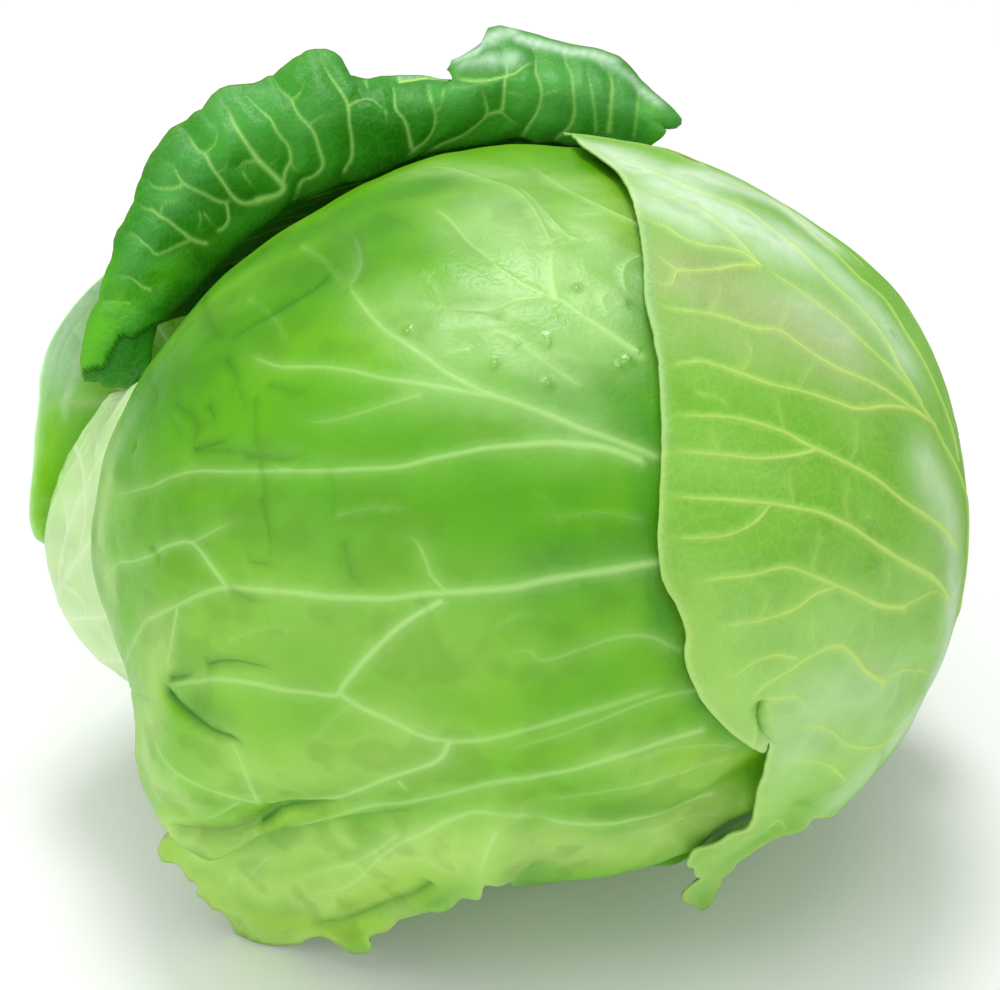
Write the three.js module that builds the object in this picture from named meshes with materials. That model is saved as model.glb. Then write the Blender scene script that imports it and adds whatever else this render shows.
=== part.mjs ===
// Spring cabbage, as picked: a round head with its loose outer leaves and a cut stem stump.
// Units are millimetres, +Z is up, and the cabbage lies on its side on the plane z = 0.
// The origin is the middle of the flat patch that the underside rests on.
//
// The head is a star-shaped body about its centre. Each leaf is a thin closed shell that follows
// the head at its own layer height. Directions on the head are given as [a, b] in degrees:
// a is the polar angle from the stem axis (0 at the stem, 180 at the apex of the head) and
// b is the azimuth about that axis (0 to the front, 90 to the underside, -90 to the top, 180 to the back).
import * as THREE from 'three';

// ---------- driving dimensions ----------
const HEAD_HALF_X = 95;          // half width of the head, left to right
const HEAD_HALF_Y = 86;          // half depth, front to back
const HEAD_HALF_Z = 80;          // half height
const HEAD_CENTRE_Z = 76.5;      // height of the head's centre above the surface
const STEM_AXIS = [0.9, 0.27, -0.33]; // from the centre of the head out through the stem
const FRONT_DIR = [0, -0.866025, 0.5]; // the side that faces the front, where b = 0

const LEAF_THICK = 1.2;          // thickness of a leaf
const LAYER_COLLAR = 7.1;        // height of each leaf's outer face over the head surface
const LAYER_TOP = 4.4;
const LAYER_RIGHT = 2.4;
const LAYER_MAIN = 0;
const LAYER_LEFT = 9.2;
const LAYER_UNDER = -2.2;
const LAYER_APEX = -4.4;
const LAYER_HEART = -7;
const STEM_RADIUS = 11.5;        // cut stem stump
const STEM_STICK_OUT = 9;        // how far the cut end stands out past the leaves
const STEM_GAP = 0.4;            // clearance between pieces that touch
const LEAF_START = 10.5;         // polar angle at which the leaves leave the stem
const REST_GAP = 0.4;            // height of the loose leaf edges that lie on the surface

// ---------- directions ----------
const DEG = Math.PI / 180;
const vec = (p) => new THREE.Vector3(p[0], p[1], p[2]);
const centre = new THREE.Vector3(0, 0, HEAD_CENTRE_Z);
const stemAxis = vec(STEM_AXIS).normalize();
const front = vec(FRONT_DIR).normalize();
const axis1 = front.clone().addScaledVector(stemAxis, -front.dot(stemAxis)).normalize();
const axis2 = new THREE.Vector3().crossVectors(stemAxis, axis1);

function direction(a, b) {
  const s = Math.sin(a * DEG), c = Math.cos(a * DEG);
  return stemAxis.clone().multiplyScalar(c)
    .addScaledVector(axis1, s * Math.cos(b * DEG))
    .addScaledVector(axis2, s * Math.sin(b * DEG));
}

// A bump is [a, b, spread in degrees, height in mm], a smooth swelling about a direction.
function bumpSum(bumps, n) {
  let sum = 0;
  for (const [a, b, spread, height] of bumps) {
    const angle = Math.acos(THREE.MathUtils.clamp(direction(a, b).dot(n), -1, 1)) / DEG;
    sum += height * Math.exp(-angle * angle / (2 * spread * spread));
  }
  return sum;
}

// The head is not quite an ellipsoid: it is flatter below and by the stem, and fuller at its shoulders.
const HEAD_BUMPS = [[81, 86, 22, -3.2], [50, 68, 15, -2.5], [25, -23, 22, -2.2],
  [46, -64, 17, 3.2], [27, 33, 15, 2]];

function headRadius(n) {
  const r = 1 / Math.hypot(n.x / HEAD_HALF_X, n.y / HEAD_HALF_Y, n.z / HEAD_HALF_Z);
  return r + bumpSum(HEAD_BUMPS, n);
}

// A point over the head at a height, never lower than floor.
function onHead(n, height, floor) {
  const p = centre.clone().addScaledVector(n, headRadius(n) + height);
  if (p.z < floor) p.z = floor;
  return p;
}

// ---------- a closed shell from two grids of points ----------
// outer[i][j] and inner[i][j]: i runs along the leaf, j across it.
function shellGeometry(outer, inner) {
  const rows = outer.length, cols = outer[0].length;
  const position = [];
  for (const grid of [outer, inner]) {
    for (const row of grid) for (const p of row) position.push(p.x, p.y, p.z);
  }
  const o = (i, j) => i * cols + j;
  const n = (i, j) => rows * cols + i * cols + j;
  const index = [];
  const quad = (a, b, c, d) => index.push(a, b, c, a, c, d);
  for (let i = 0; i < rows - 1; i++) {
    for (let j = 0; j < cols - 1; j++) {
      quad(o(i, j), o(i + 1, j), o(i + 1, j + 1), o(i, j + 1));
      quad(n(i, j), n(i, j + 1), n(i + 1, j + 1), n(i + 1, j));
    }
  }
  for (let i = 0; i < rows - 1; i++) {
    quad(o(i, 0), n(i, 0), n(i + 1, 0), o(i + 1, 0));
    quad(o(i, cols - 1), o(i + 1, cols - 1), n(i + 1, cols - 1), n(i, cols - 1));
  }
  for (let j = 0; j < cols - 1; j++) {
    quad(o(0, j), o(0, j + 1), n(0, j + 1), n(0, j));
    quad(o(rows - 1, j), n(rows - 1, j), n(rows - 1, j + 1), o(rows - 1, j + 1));
  }
  return finish(position, index);
}

// Builds the geometry and turns it right side out if its volume comes out negative.
function finish(position, index) {
  let volume = 0;
  const at = (i) => new THREE.Vector3(position[3 * i], position[3 * i + 1], position[3 * i + 2]);
  for (let k = 0; k < index.length; k += 3) {
    volume += at(index[k]).dot(at(index[k + 1]).cross(at(index[k + 2])));
  }
  if (volume < 0) {
    for (let k = 0; k < index.length; k += 3) {
      const t = index[k + 1];
      index[k + 1] = index[k + 2];
      index[k + 2] = t;
    }
  }
  const g = new THREE.BufferGeometry();
  g.setAttribute('position', new THREE.Float32BufferAttribute(position, 3));
  g.setIndex(index);
  g.computeVertexNormals();
  return g;
}

// ---------- leaf outlines ----------
// An outline side is a list of [a, b]. It is laid flat about a pole and run through a smooth curve.
function flatten(pole) {
  const x = new THREE.Vector3(1, 0, 0);
  if (Math.abs(pole.x) > 0.8) x.set(0, 1, 0);
  x.addScaledVector(pole, -x.dot(pole)).normalize();
  const y = new THREE.Vector3().crossVectors(pole, x);
  return {
    to(n) {
      const angle = Math.acos(THREE.MathUtils.clamp(n.dot(pole), -1, 1));
      const u = n.dot(x), v = n.dot(y), l = Math.hypot(u, v) || 1;
      return new THREE.Vector3(angle * u / l, angle * v / l, 0);
    },
    from(q) {
      const angle = Math.hypot(q.x, q.y);
      const l = angle || 1;
      return pole.clone().multiplyScalar(Math.cos(angle))
        .addScaledVector(x, Math.sin(angle) * q.x / l)
        .addScaledVector(y, Math.sin(angle) * q.y / l);
    },
  };
}

function side(chart, list, count) {
  const points = list.map(([a, b]) => chart.to(direction(a, b)));
  if (points.length === 2) {
    return Array.from({ length: count }, (_, k) => points[0].clone().lerp(points[1], k / (count - 1)));
  }
  return new THREE.CatmullRomCurve3(points, false, 'centripetal').getSpacedPoints(count - 1);
}

// Four sides (base, tip, and the two margins from base to tip) give a grid of directions.
function directionGrid({ pole, base, tip, marginA, marginB, along, across }) {
  const chart = flatten(direction(pole[0], pole[1]));
  const s0 = side(chart, base, across), s1 = side(chart, tip, across);
  const m0 = side(chart, marginA, along), m1 = side(chart, marginB, along);
  const grid = [];
  for (let i = 0; i < along; i++) {
    const t = i / (along - 1), row = [];
    for (let j = 0; j < across; j++) {
      const s = j / (across - 1);
      const q = new THREE.Vector3()
        .addScaledVector(s0[j], 1 - t).addScaledVector(s1[j], t)
        .addScaledVector(m0[i], 1 - s).addScaledVector(m1[i], s)
        .addScaledVector(s0[0], -(1 - s) * (1 - t)).addScaledVector(s0[across - 1], -s * (1 - t))
        .addScaledVector(s1[0], -(1 - s) * t).addScaledVector(s1[across - 1], -s * t);
      row.push(chart.from(q));
    }
    grid.push(row);
  }
  return grid;
}

// A leaf that lies on the head at its layer height, with swellings of its own.
function wrappedLeaf(spec) {
  const bumps = spec.bumps ?? [];
  const grid = directionGrid(spec);
  const floor = spec.floor ?? 0;
  const outer = grid.map((row) => row.map((n) => onHead(n, spec.layer + bumpSum(bumps, n), floor)));
  const inner = grid.map((row) => row.map((n) =>
    onHead(n, spec.layer + bumpSum(bumps, n) - LEAF_THICK, floor + LEAF_THICK)));
  return shellGeometry(outer, inner);
}

// An arc of directions round the stem at one polar angle.
const arc = (a, b0, b1, count = 9) =>
  Array.from({ length: count }, (_, k) => [a, b0 + (b1 - b0) * k / (count - 1)]);

// ---------- the leaves ----------
// Big front leaf: covers the whole front of the head. Its lower left part bulges, and its frilled
// lower edge hangs as a flap that reaches the surface.
const MAIN_LEAF = {
  pole: [113.6, 0], layer: LAYER_MAIN, floor: REST_GAP, along: 19, across: 17,
  base: arc(LEAF_START, -60, 72),
  tip: [[169, -141], [175, -157], [169, 148], [161, 145], [158, 131], [155, 118], [148, 112], [142, 109],
    [136, 106], [131, 102], [128, 102]],
  marginA: [[LEAF_START, -60], [45, -78], [75, -84], [103, -86], [125, -92], [143, -106], [155, -128], [169, -141]],
  marginB: [[LEAF_START, 72], [45, 76], [65, 80], [80, 84], [92, 83], [98, 88], [103, 92], [109, 96], [115, 99],
    [122, 101], [128, 102]],
  bumps: [[112, 97, 7, 19], [102, 91, 5.5, 12], [122, 101, 7, 14], [131, 108, 7, 12], [125, 82, 7, -3]],
};

// Right wrapper leaf: its base wraps round the stem half of the head, and one corner of its
// far edge runs down in a narrow tongue to the surface.
const RIGHT_LEAF = {
  pole: [0, 0], layer: LAYER_RIGHT, floor: REST_GAP, along: 11, across: 37,
  base: arc(LEAF_START, 62, -200, 15),
  tip: [[59, 78], [62, 72], [65, 62], [67, 53], [68, 44], [71, 36], [76, 28], [80, 22], [89, 16], [93, 9], [97, 3],
    [99, -8], [100, -27], [99, -46], [97, -65], [96, -84], [91, -90], [82, -90], [77, -98], [76, -115], [78, -140],
    [82, -170], [80, -200]],
  marginA: [[LEAF_START, 62], [28, 60], [42, 57], [51, 55], [56, 60], [57.5, 70], [59, 78]],
  marginB: [[LEAF_START, -200], [45, -202], [80, -200]],
  bumps: [[59, 77, 6, 11]],
};

// Pale leaf of the tight head that shows round the apex, beneath the front leaf.
const APEX_LEAF = {
  pole: [125, 150], layer: LAYER_APEX, floor: 2.4, along: 17, across: 15,
  base: arc(LEAF_START, 112, 188),
  tip: [[146, 62], [150, 30], [151, 0], [150, -40], [146, -80], [142, -108]],
  marginA: [[LEAF_START, 112], [50, 104], [90, 97], [120, 86], [146, 62]],
  marginB: [[LEAF_START, 188], [50, 192], [90, 200], [120, 222], [142, 252]],
  bumps: [[139, 157, 11, 13], [141, 182, 11, 8.5], [138, 140, 8, 5]],
};

// Leaf below the head: the cabbage rests on its flat middle.
const UNDER_LEAF = {
  pole: [75, 115], layer: LAYER_UNDER, floor: 0, along: 17, across: 17,
  base: arc(LEAF_START, 76, 170),
  tip: [[116, 83], [126, 96], [130, 112], [129, 128], [124, 142], [118, 155]],
  marginA: [[LEAF_START, 76], [40, 70], [70, 70], [95, 74], [116, 83]],
  marginB: [[LEAF_START, 170], [40, 168], [70, 166], [100, 162], [118, 155]],
  bumps: [[70.6, 115, 15, 4.4], [139, 157, 11, 13], [138, 140, 8, 5]],
};

// Pale green wrapper leaf on the left: outermost at the back, its free edge flares out round the apex.
const LEFT_LEAF = {
  pole: [100, 195], layer: LAYER_LEFT, floor: REST_GAP, along: 18, across: 15,
  base: arc(LEAF_START, 150, 226),
  tip: [[144, 158], [148, 163], [150, 171], [150, 180], [149, 190], [148, 200], [146, 208], [142, 216]],
  marginA: [[LEAF_START, 150], [45, 150], [80, 152], [115, 155], [144, 158]],
  marginB: [[LEAF_START, 226], [50, 222], [95, 222], [125, 220], [142, 216]],
  bumps: [[146, 159, 9, 7.5], [149, 180, 9, 2], [148, 200, 10, 6.5], [142, 218, 8, 3]],
};

// Bright leaf between the right wrapper and the collar: only its edge shows, at the top right.
const TOP_LEAF = {
  pole: [0, 0], layer: LAYER_TOP, floor: REST_GAP, along: 9, across: 11,
  base: arc(LEAF_START, -100, -188),
  tip: [[78, -84], [77, -94], [78, -115], [80, -140], [80, -165], [76, -188]],
  marginA: [[LEAF_START, -100], [40, -98], [62, -95], [72, -90], [78, -84]],
  marginB: [[LEAF_START, -188], [45, -190], [76, -188]],
};

// Dark collar leaf: hugs the back of the head from the stem, then flares out round its top.
// One row for each place along the free edge, from the lower left end to the top right end:
// the fold where it leaves the head, the middle of the flared band, and the free edge, in mm.
const COLLAR_FLARE = [
  [[-89.0, 19.9, 110.9], [-92.6, 13.4, 107.6], [-96.4, 10.0, 105.7]],
  [[-88.3, 27.3, 115.7], [-91.2, 20.6, 118.3], [-94.7, 20.2, 117.5]],
  [[-80.8, 32.2, 120.2], [-85.5, 27.1, 127.4], [-90.5, 30.5, 129.4]],
  [[-71.7, 36.6, 125.9], [-77.7, 32.3, 136.5], [-84.7, 39.5, 140.9]],
  [[-60.3, 42.0, 133.3], [-66.3, 38.0, 146.3], [-73.4, 47.1, 152.1]],
  [[-46.8, 44.9, 138.3], [-51.9, 42.2, 151.5], [-57.6, 52.9, 158.2]],
  [[-33.1, 47.6, 141.0], [-38.2, 45.7, 153.6], [-41.7, 57.7, 160.5]],
  [[-24.3, 48.9, 143.3], [-26.7, 47.3, 152.5], [-28.7, 56.8, 156.9]],
  [[-8.3, 51.5, 145.8], [-9.4, 51.2, 157.2], [-8.6, 69.5, 162.9]],
  [[3.4, 51.0, 144.8], [4.0, 51.6, 155.9], [4.7, 68.3, 160.7]],
  [[16.1, 51.9, 144.4], [18.6, 52.4, 153.2], [21.4, 63.7, 156.8]],
  [[26.5, 53.6, 141.3], [29.9, 52.4, 145.2], [33.6, 56.5, 146.3]],
];
const COLLAR_BASE_AZIMUTH = [-192, -112]; // where its two sides leave the stem
const COLLAR_HUG_ROWS = 14;
const COLLAR_ACROSS = 19;
const COLLAR_FLARE_ROWS = 7;

function collarLeaf() {
  const chart = flatten(stemAxis.clone());
  const last = COLLAR_FLARE.length - 1;
  const lines = COLLAR_FLARE[0].map((_, k) => new THREE.CatmullRomCurve3(
    COLLAR_FLARE.map((row) => vec(row[k])), false, 'centripetal'));
  const mid = [];
  for (let j = 0; j < COLLAR_ACROSS; j++) {
    const s = j / (COLLAR_ACROSS - 1);
    const [fold, band, edge] = lines.map((line) => line.getPoint(s));
    const foldDir = fold.clone().sub(centre).normalize();
    const end = chart.to(foldDir);
    const b = THREE.MathUtils.lerp(COLLAR_BASE_AZIMUTH[0], COLLAR_BASE_AZIMUTH[1], s);
    const start = chart.to(direction(LEAF_START, b));
    const column = [];
    for (let i = 0; i < COLLAR_HUG_ROWS; i++) {
      const n = chart.from(start.clone().lerp(end, 0.93 * i / (COLLAR_HUG_ROWS - 1)));
      column.push(onHead(n, LAYER_COLLAR - LEAF_THICK / 2, 1));
    }
    const flare = new THREE.CatmullRomCurve3([column[COLLAR_HUG_ROWS - 1], fold, band, edge], false, 'centripetal');
    for (let i = 1; i < COLLAR_FLARE_ROWS; i++) column.push(flare.getPoint(i / (COLLAR_FLARE_ROWS - 1)));
    mid.push(column);
  }
  return thicken(mid, LEAF_THICK);
}

// Offsets a grid of points to both sides along its surface normals.
function thicken(grid, thickness) {
  const rows = grid.length, cols = grid[0].length;
  const shifted = (sign) => grid.map((row, i) => row.map((p, j) => {
    const du = grid[Math.min(i + 1, rows - 1)][j].clone().sub(grid[Math.max(i - 1, 0)][j]);
    const dv = grid[i][Math.min(j + 1, cols - 1)].clone().sub(grid[i][Math.max(j - 1, 0)]);
    const n = du.cross(dv).normalize();
    return p.clone().addScaledVector(n, sign * thickness / 2);
  }));
  return shellGeometry(shifted(1), shifted(-1));
}

// ---------- heart and stem ----------
// The tight inner leaves, folded so closely that they act as one body.
const HEART_RINGS = 15;
const HEART_SECTORS = 24;
const HEART_FLOOR = 4.8;
const HEART_BUMPS = [[139, 160, 11, 10]];

function heartGeometry() {
  const position = [], index = [];
  const put = (n) => {
    const p = onHead(n, LAYER_HEART + bumpSum(HEART_BUMPS, n), HEART_FLOOR);
    position.push(p.x, p.y, p.z);
  };
  put(direction(0, 0));
  for (let i = 1; i < HEART_RINGS; i++) {
    for (let j = 0; j < HEART_SECTORS; j++) put(direction(180 * i / HEART_RINGS, 360 * j / HEART_SECTORS));
  }
  put(direction(180, 0));
  const at = (i, j) => 1 + (i - 1) * HEART_SECTORS + (j % HEART_SECTORS);
  const end = position.length / 3 - 1;
  for (let j = 0; j < HEART_SECTORS; j++) {
    index.push(0, at(1, j), at(1, j + 1));
    for (let i = 1; i < HEART_RINGS - 1; i++) {
      index.push(at(i, j), at(i + 1, j), at(i + 1, j + 1), at(i, j), at(i + 1, j + 1), at(i, j + 1));
    }
    index.push(at(HEART_RINGS - 1, j), end, at(HEART_RINGS - 1, j + 1));
  }
  return finish(position, index);
}

// Cut stem stump: a short stalk, a little wider at the head and with a rounded cut edge.
function stemGeometry() {
  const inner = headRadius(stemAxis) + LAYER_HEART + STEM_GAP;
  const outer = headRadius(stemAxis) + LAYER_COLLAR + STEM_STICK_OUT;
  const r = STEM_RADIUS;
  const profile = [[0, inner], [r, inner], [r * 1.02, inner + 6], [r * 0.98, inner + 12], [r * 0.96, outer - 2],
    [r * 0.88, outer - 0.4], [r * 0.6, outer], [0, outer - 0.5]].map(([x, y]) => new THREE.Vector2(x, y));
  return new THREE.LatheGeometry(profile, 28);
}

// ---------- assembly ----------
const cabbage = new THREE.Group();

function add(name, geometry, color, roughness = 0.5) {
  const mesh = new THREE.Mesh(geometry, new THREE.MeshStandardMaterial({ color, roughness, metalness: 0 }));
  mesh.name = name;
  cabbage.add(mesh);
  return mesh;
}

add('heart_of_inner_leaves', heartGeometry(), 0xd8e8a8);
const stem = add('stem_stump', stemGeometry(), 0xdfe6bd, 0.7);
stem.quaternion.setFromUnitVectors(new THREE.Vector3(0, 1, 0), stemAxis);
stem.position.copy(centre);
add('apex_pale_leaf', wrappedLeaf(APEX_LEAF), 0xc6e2b0);
add('under_leaf', wrappedLeaf(UNDER_LEAF), 0x9fcf6c);
add('front_leaf', wrappedLeaf(MAIN_LEAF), 0x7cba30, 0.4);
add('left_wrapper_leaf', wrappedLeaf(LEFT_LEAF), 0x8fc85c);
add('right_wrapper_leaf', wrappedLeaf(RIGHT_LEAF), 0x95cb66);
add('top_wrapper_leaf', wrappedLeaf(TOP_LEAF), 0x7fc23c);
add('collar_leaf', collarLeaf(), 0x3f9030);

export default cabbage;
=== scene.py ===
import bpy
import math
import re
import numpy as np
from mathutils import Matrix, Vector
from mathutils.geometry import delaunay_2d_cdt
from mathutils.kdtree import KDTree


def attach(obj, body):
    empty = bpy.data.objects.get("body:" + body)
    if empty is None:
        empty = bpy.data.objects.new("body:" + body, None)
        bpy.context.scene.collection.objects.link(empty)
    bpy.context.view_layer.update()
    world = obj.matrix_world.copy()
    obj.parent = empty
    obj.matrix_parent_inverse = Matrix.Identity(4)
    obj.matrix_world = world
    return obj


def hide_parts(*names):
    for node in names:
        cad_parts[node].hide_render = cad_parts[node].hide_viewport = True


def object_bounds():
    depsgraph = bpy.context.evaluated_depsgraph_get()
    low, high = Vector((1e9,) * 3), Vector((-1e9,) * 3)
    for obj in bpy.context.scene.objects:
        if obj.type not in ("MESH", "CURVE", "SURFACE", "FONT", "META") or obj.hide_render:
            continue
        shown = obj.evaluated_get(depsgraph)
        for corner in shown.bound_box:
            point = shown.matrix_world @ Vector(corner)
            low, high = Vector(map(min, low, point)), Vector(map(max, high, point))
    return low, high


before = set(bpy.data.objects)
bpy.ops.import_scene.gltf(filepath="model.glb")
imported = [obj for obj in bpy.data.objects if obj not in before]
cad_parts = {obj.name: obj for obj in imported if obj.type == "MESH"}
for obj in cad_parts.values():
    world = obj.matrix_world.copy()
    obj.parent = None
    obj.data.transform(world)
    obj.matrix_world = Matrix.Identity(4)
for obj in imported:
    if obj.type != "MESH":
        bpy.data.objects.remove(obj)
cad_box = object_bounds()
cad_box = [[float(v) for v in cad_box[0]], [float(v) for v in cad_box[1]]]

# ---------------------------------------------------------------------------
# Everything below is worked out in millimetres and written to meshes in metres.
# The head is star-shaped about CENTRE; the camera looks down on it by 30 degrees.
# ---------------------------------------------------------------------------
LOOK_DOWN = math.radians(30)
PIX = 2750.0                       # focal length in pixels of a 1000 pixel wide picture
FAR = 600.0                        # camera distance in mm
RIGHT = np.array([1.0, 0, 0])
UP = np.array([0, math.sin(LOOK_DOWN), math.cos(LOOK_DOWN)])
FWD = np.array([0, math.cos(LOOK_DOWN), -math.sin(LOOK_DOWN)])
BACK = -FWD
CENTRE = np.array([0, 0, 76.5])
AXES = np.array([95.0, 86.0, 80.0])
AIM = CENTRE - (30 / PIX * FAR) * RIGHT + (25 / PIX * FAR) * UP
CAM = AIM - FWD * FAR
STEM = np.array([0.9, 0.27, -0.33])
STEM = STEM / np.linalg.norm(STEM)
E1 = BACK - (BACK @ STEM) * STEM
E1 = E1 / np.linalg.norm(E1)
E2 = np.cross(STEM, E1)
HEAD_BUMPS = [(81, 86, 22, -3.2), (50, 68, 15, -2.5), (25, -23, 22, -2.2), (46, -64, 17, 3.2), (27, 33, 15, 2)]


def unit(v):
    v = np.asarray(v, float)
    return v / np.maximum(np.linalg.norm(v, axis=-1, keepdims=True), 1e-9)


def direction(a, b):
    """a: degrees from the stem axis, b: degrees round it (0 faces the viewer, 90 is below)."""
    a, b = np.radians(np.asarray(a, float)), np.radians(np.asarray(b, float))
    return np.cos(a)[..., None] * STEM + np.sin(a)[..., None] * (np.cos(b)[..., None] * E1 + np.sin(b)[..., None] * E2)


def angles(n):
    return np.degrees(np.arccos(np.clip(n @ STEM, -1, 1))), np.degrees(np.arctan2(n @ E2, n @ E1))


def bump_sum(n, bumps):
    out = np.zeros(n.shape[:-1])
    for a, b, s, h in bumps:
        ang = np.degrees(np.arccos(np.clip(n @ direction(a, b), -1, 1)))
        out = out + h * np.exp(-ang ** 2 / (2 * s * s))
    return out


def slim(n):
    """The right shoulder is a little slimmer, along the outline that the view shows."""
    turn = np.degrees(np.arctan2(n @ UP, n @ RIGHT))
    return 2.3 * np.exp(-((n @ BACK - 0.1) / 0.38) ** 2) * smooth01((turn + 36) / 14) * smooth01((66 - turn) / 22)


def head(n):
    return 1 / np.sqrt(((n / AXES) ** 2).sum(-1)) + bump_sum(n, HEAD_BUMPS) - slim(n)


def ray(px, py):
    px, py = np.asarray(px, float), np.asarray(py, float)
    return unit((px - 500)[..., None] * RIGHT + (495 - py)[..., None] * UP + PIX * FWD)


def project(P):
    v = P - CAM
    z = v @ FWD
    return 500 + PIX * (v @ RIGHT) / z, 495 - PIX * (v @ UP) / z


def at_depth(px, py, b):
    """The point under a pixel whose height towards the camera over CENTRE is b."""
    d = ray(px, py)
    t = ((CENTRE - CAM) @ BACK + np.asarray(b, float)) / (d @ BACK)
    return CAM + d * t[..., None]


def at_height(px, py, z):
    d = ray(px, py)
    t = (np.asarray(z, float) - CAM[2]) / d[..., 2]
    return CAM + d * t[..., None]


def hit(px, py, radius, steps=260):
    """First point under each pixel of the star surface radius(n); the nearest approach if the ray misses."""
    d = ray(px, py).reshape(-1, 3)
    t = np.linspace(FAR - 150, FAR + 110, steps)
    X = CAM + d[:, None, :] * t[None, :, None]
    v = X - CENTRE
    r = np.linalg.norm(v, axis=-1)
    g = r - radius((v / r[..., None]).reshape(-1, 3)).reshape(r.shape)
    neg = g < 0
    first = np.argmax(neg, axis=1)
    near = np.argmin(g / r, axis=1)
    out = np.zeros_like(d)
    for i in range(len(d)):
        k = first[i]
        if neg[i].any() and k > 0:
            f = g[i, k - 1] / (g[i, k - 1] - g[i, k])
            out[i] = X[i, k - 1] * (1 - f) + X[i, k] * f
        else:
            out[i] = X[i, near[i]]
    return out


def pts(text):
    """(x,y)(x,y)... or (x,y,z)... as an array."""
    return np.array([[float(w) for w in g.split(",")] for g in re.findall(r"\(([-\d.,]+)\)", text)])


def catmull(P, n=None, step=None, closed=False):
    """A centripetal Catmull-Rom curve through P, sampled evenly."""
    P = np.asarray(P, float)
    keep = [0] + [i for i in range(1, len(P)) if np.linalg.norm(P[i] - P[i - 1]) > 1e-6]
    P = P[keep]
    if len(P) < 3 and not closed:
        Q = P
    else:
        if closed:
            A = np.vstack([P[-1], P, P[0], P[1]])
        else:
            A = np.vstack([2 * P[0] - P[1], P, 2 * P[-1] - P[-2]])
        out = []
        u = np.linspace(0, 1, 9)[:-1][:, None]
        for i in range(1, len(A) - 2):
            p0, p1, p2, p3 = A[i - 1], A[i], A[i + 1], A[i + 2]
            t01 = max(np.linalg.norm(p1 - p0), 1e-6) ** 0.5
            t12 = max(np.linalg.norm(p2 - p1), 1e-6) ** 0.5
            t23 = max(np.linalg.norm(p3 - p2), 1e-6) ** 0.5
            m1 = p2 - p1 + t12 * ((p1 - p0) / t01 - (p2 - p0) / (t01 + t12))
            m2 = p2 - p1 + t12 * ((p3 - p2) / t23 - (p3 - p1) / (t12 + t23))
            a = 2 * (p1 - p2) + m1 + m2
            b = -3 * (p1 - p2) - 2 * m1 - m2
            out.append(a * u ** 3 + b * u ** 2 + m1 * u + p1)
        out.append(A[-2][None, :])
        Q = np.vstack(out)
    seg = np.linalg.norm(np.diff(Q, axis=0), axis=1)
    L = np.concatenate([[0], np.cumsum(seg)])
    if n is None:
        n = max(2, int(round(L[-1] / step)) + 1)
    s = np.linspace(0, L[-1], n)
    R = np.stack([np.interp(s, L, Q[:, k]) for k in range(Q.shape[1])], axis=1)
    return R[:-1] if closed else R


_table = np.random.RandomState(23).rand(32, 32, 32)


def noise(P, size, octaves=1):
    """Smooth value noise from -1 to 1 over points in mm."""
    total, amp, norm = 0.0, 1.0, 0.0
    for o in range(octaves):
        q = np.asarray(P, float) / size * (2 ** o) + 57.3 * (o + 1)
        i = np.floor(q).astype(int)
        f = q - i
        f = f * f * (3 - 2 * f)
        v = 0
        for dx in (0, 1):
            for dy in (0, 1):
                for dz in (0, 1):
                    w = (f[:, 0] if dx else 1 - f[:, 0]) * (f[:, 1] if dy else 1 - f[:, 1]) * (f[:, 2] if dz else 1 - f[:, 2])
                    v = v + w * _table[(i[:, 0] + dx) % 32, (i[:, 1] + dy) % 32, (i[:, 2] + dz) % 32]
        total = total + amp * (2 * v - 1)
        norm += amp
        amp *= 0.5
    return total / norm


def smooth01(x):
    x = np.clip(x, 0, 1)
    return x * x * (3 - 2 * x)


class Field:
    """A height over the head in mm, blended from scattered samples and fading to nothing away from them."""

    def __init__(self, n, d, sigma, eps=0.12):
        self.n, self.d, self.s, self.eps = np.asarray(n, np.float32), np.asarray(d, np.float32), math.radians(sigma), eps
        self.mid = unit(self.n.mean(0))
        self.reach = float(np.arccos(np.clip((self.n @ self.mid), -1, 1)).max()) + 4 * self.s

    def __call__(self, q):
        q = np.asarray(q, np.float32)
        out = np.zeros(len(q), np.float32)
        near = np.nonzero(q @ self.mid > math.cos(min(self.reach, 3.1)))[0]
        for c in range(0, len(near), 8000):
            k = near[c:c + 8000]
            w = np.exp((q[k] @ self.n.T - 1) / (self.s ** 2))
            out[k] = (w @ self.d) / (w.sum(1) + self.eps)
        return out.astype(float)


class Chart:
    """The sphere of directions flattened about one of them, in mm on a sphere of radius 88."""

    def __init__(self, a, b):
        self.k = direction(a, b)
        up = np.array([0, 0, 1.0]) if abs(self.k[2]) < 0.9 else np.array([0, 1.0, 0])
        self.u = unit(np.cross(up, self.k))
        self.v = np.cross(self.k, self.u)

    def flat(self, n):
        c = np.clip(n @ self.k, -1, 1)
        x, y = n @ self.u, n @ self.v
        r = np.maximum(np.hypot(x, y), 1e-9)
        g = np.arccos(c) * 88 / r
        return np.stack([x * g, y * g], axis=-1)

    def lift(self, q):
        r = np.maximum(np.hypot(q[:, 0], q[:, 1]), 1e-9)
        t = r / 88
        return np.cos(t)[:, None] * self.k + (np.sin(t) / r)[:, None] * (q[:, :1] * self.u + q[:, 1:] * self.v)


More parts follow.
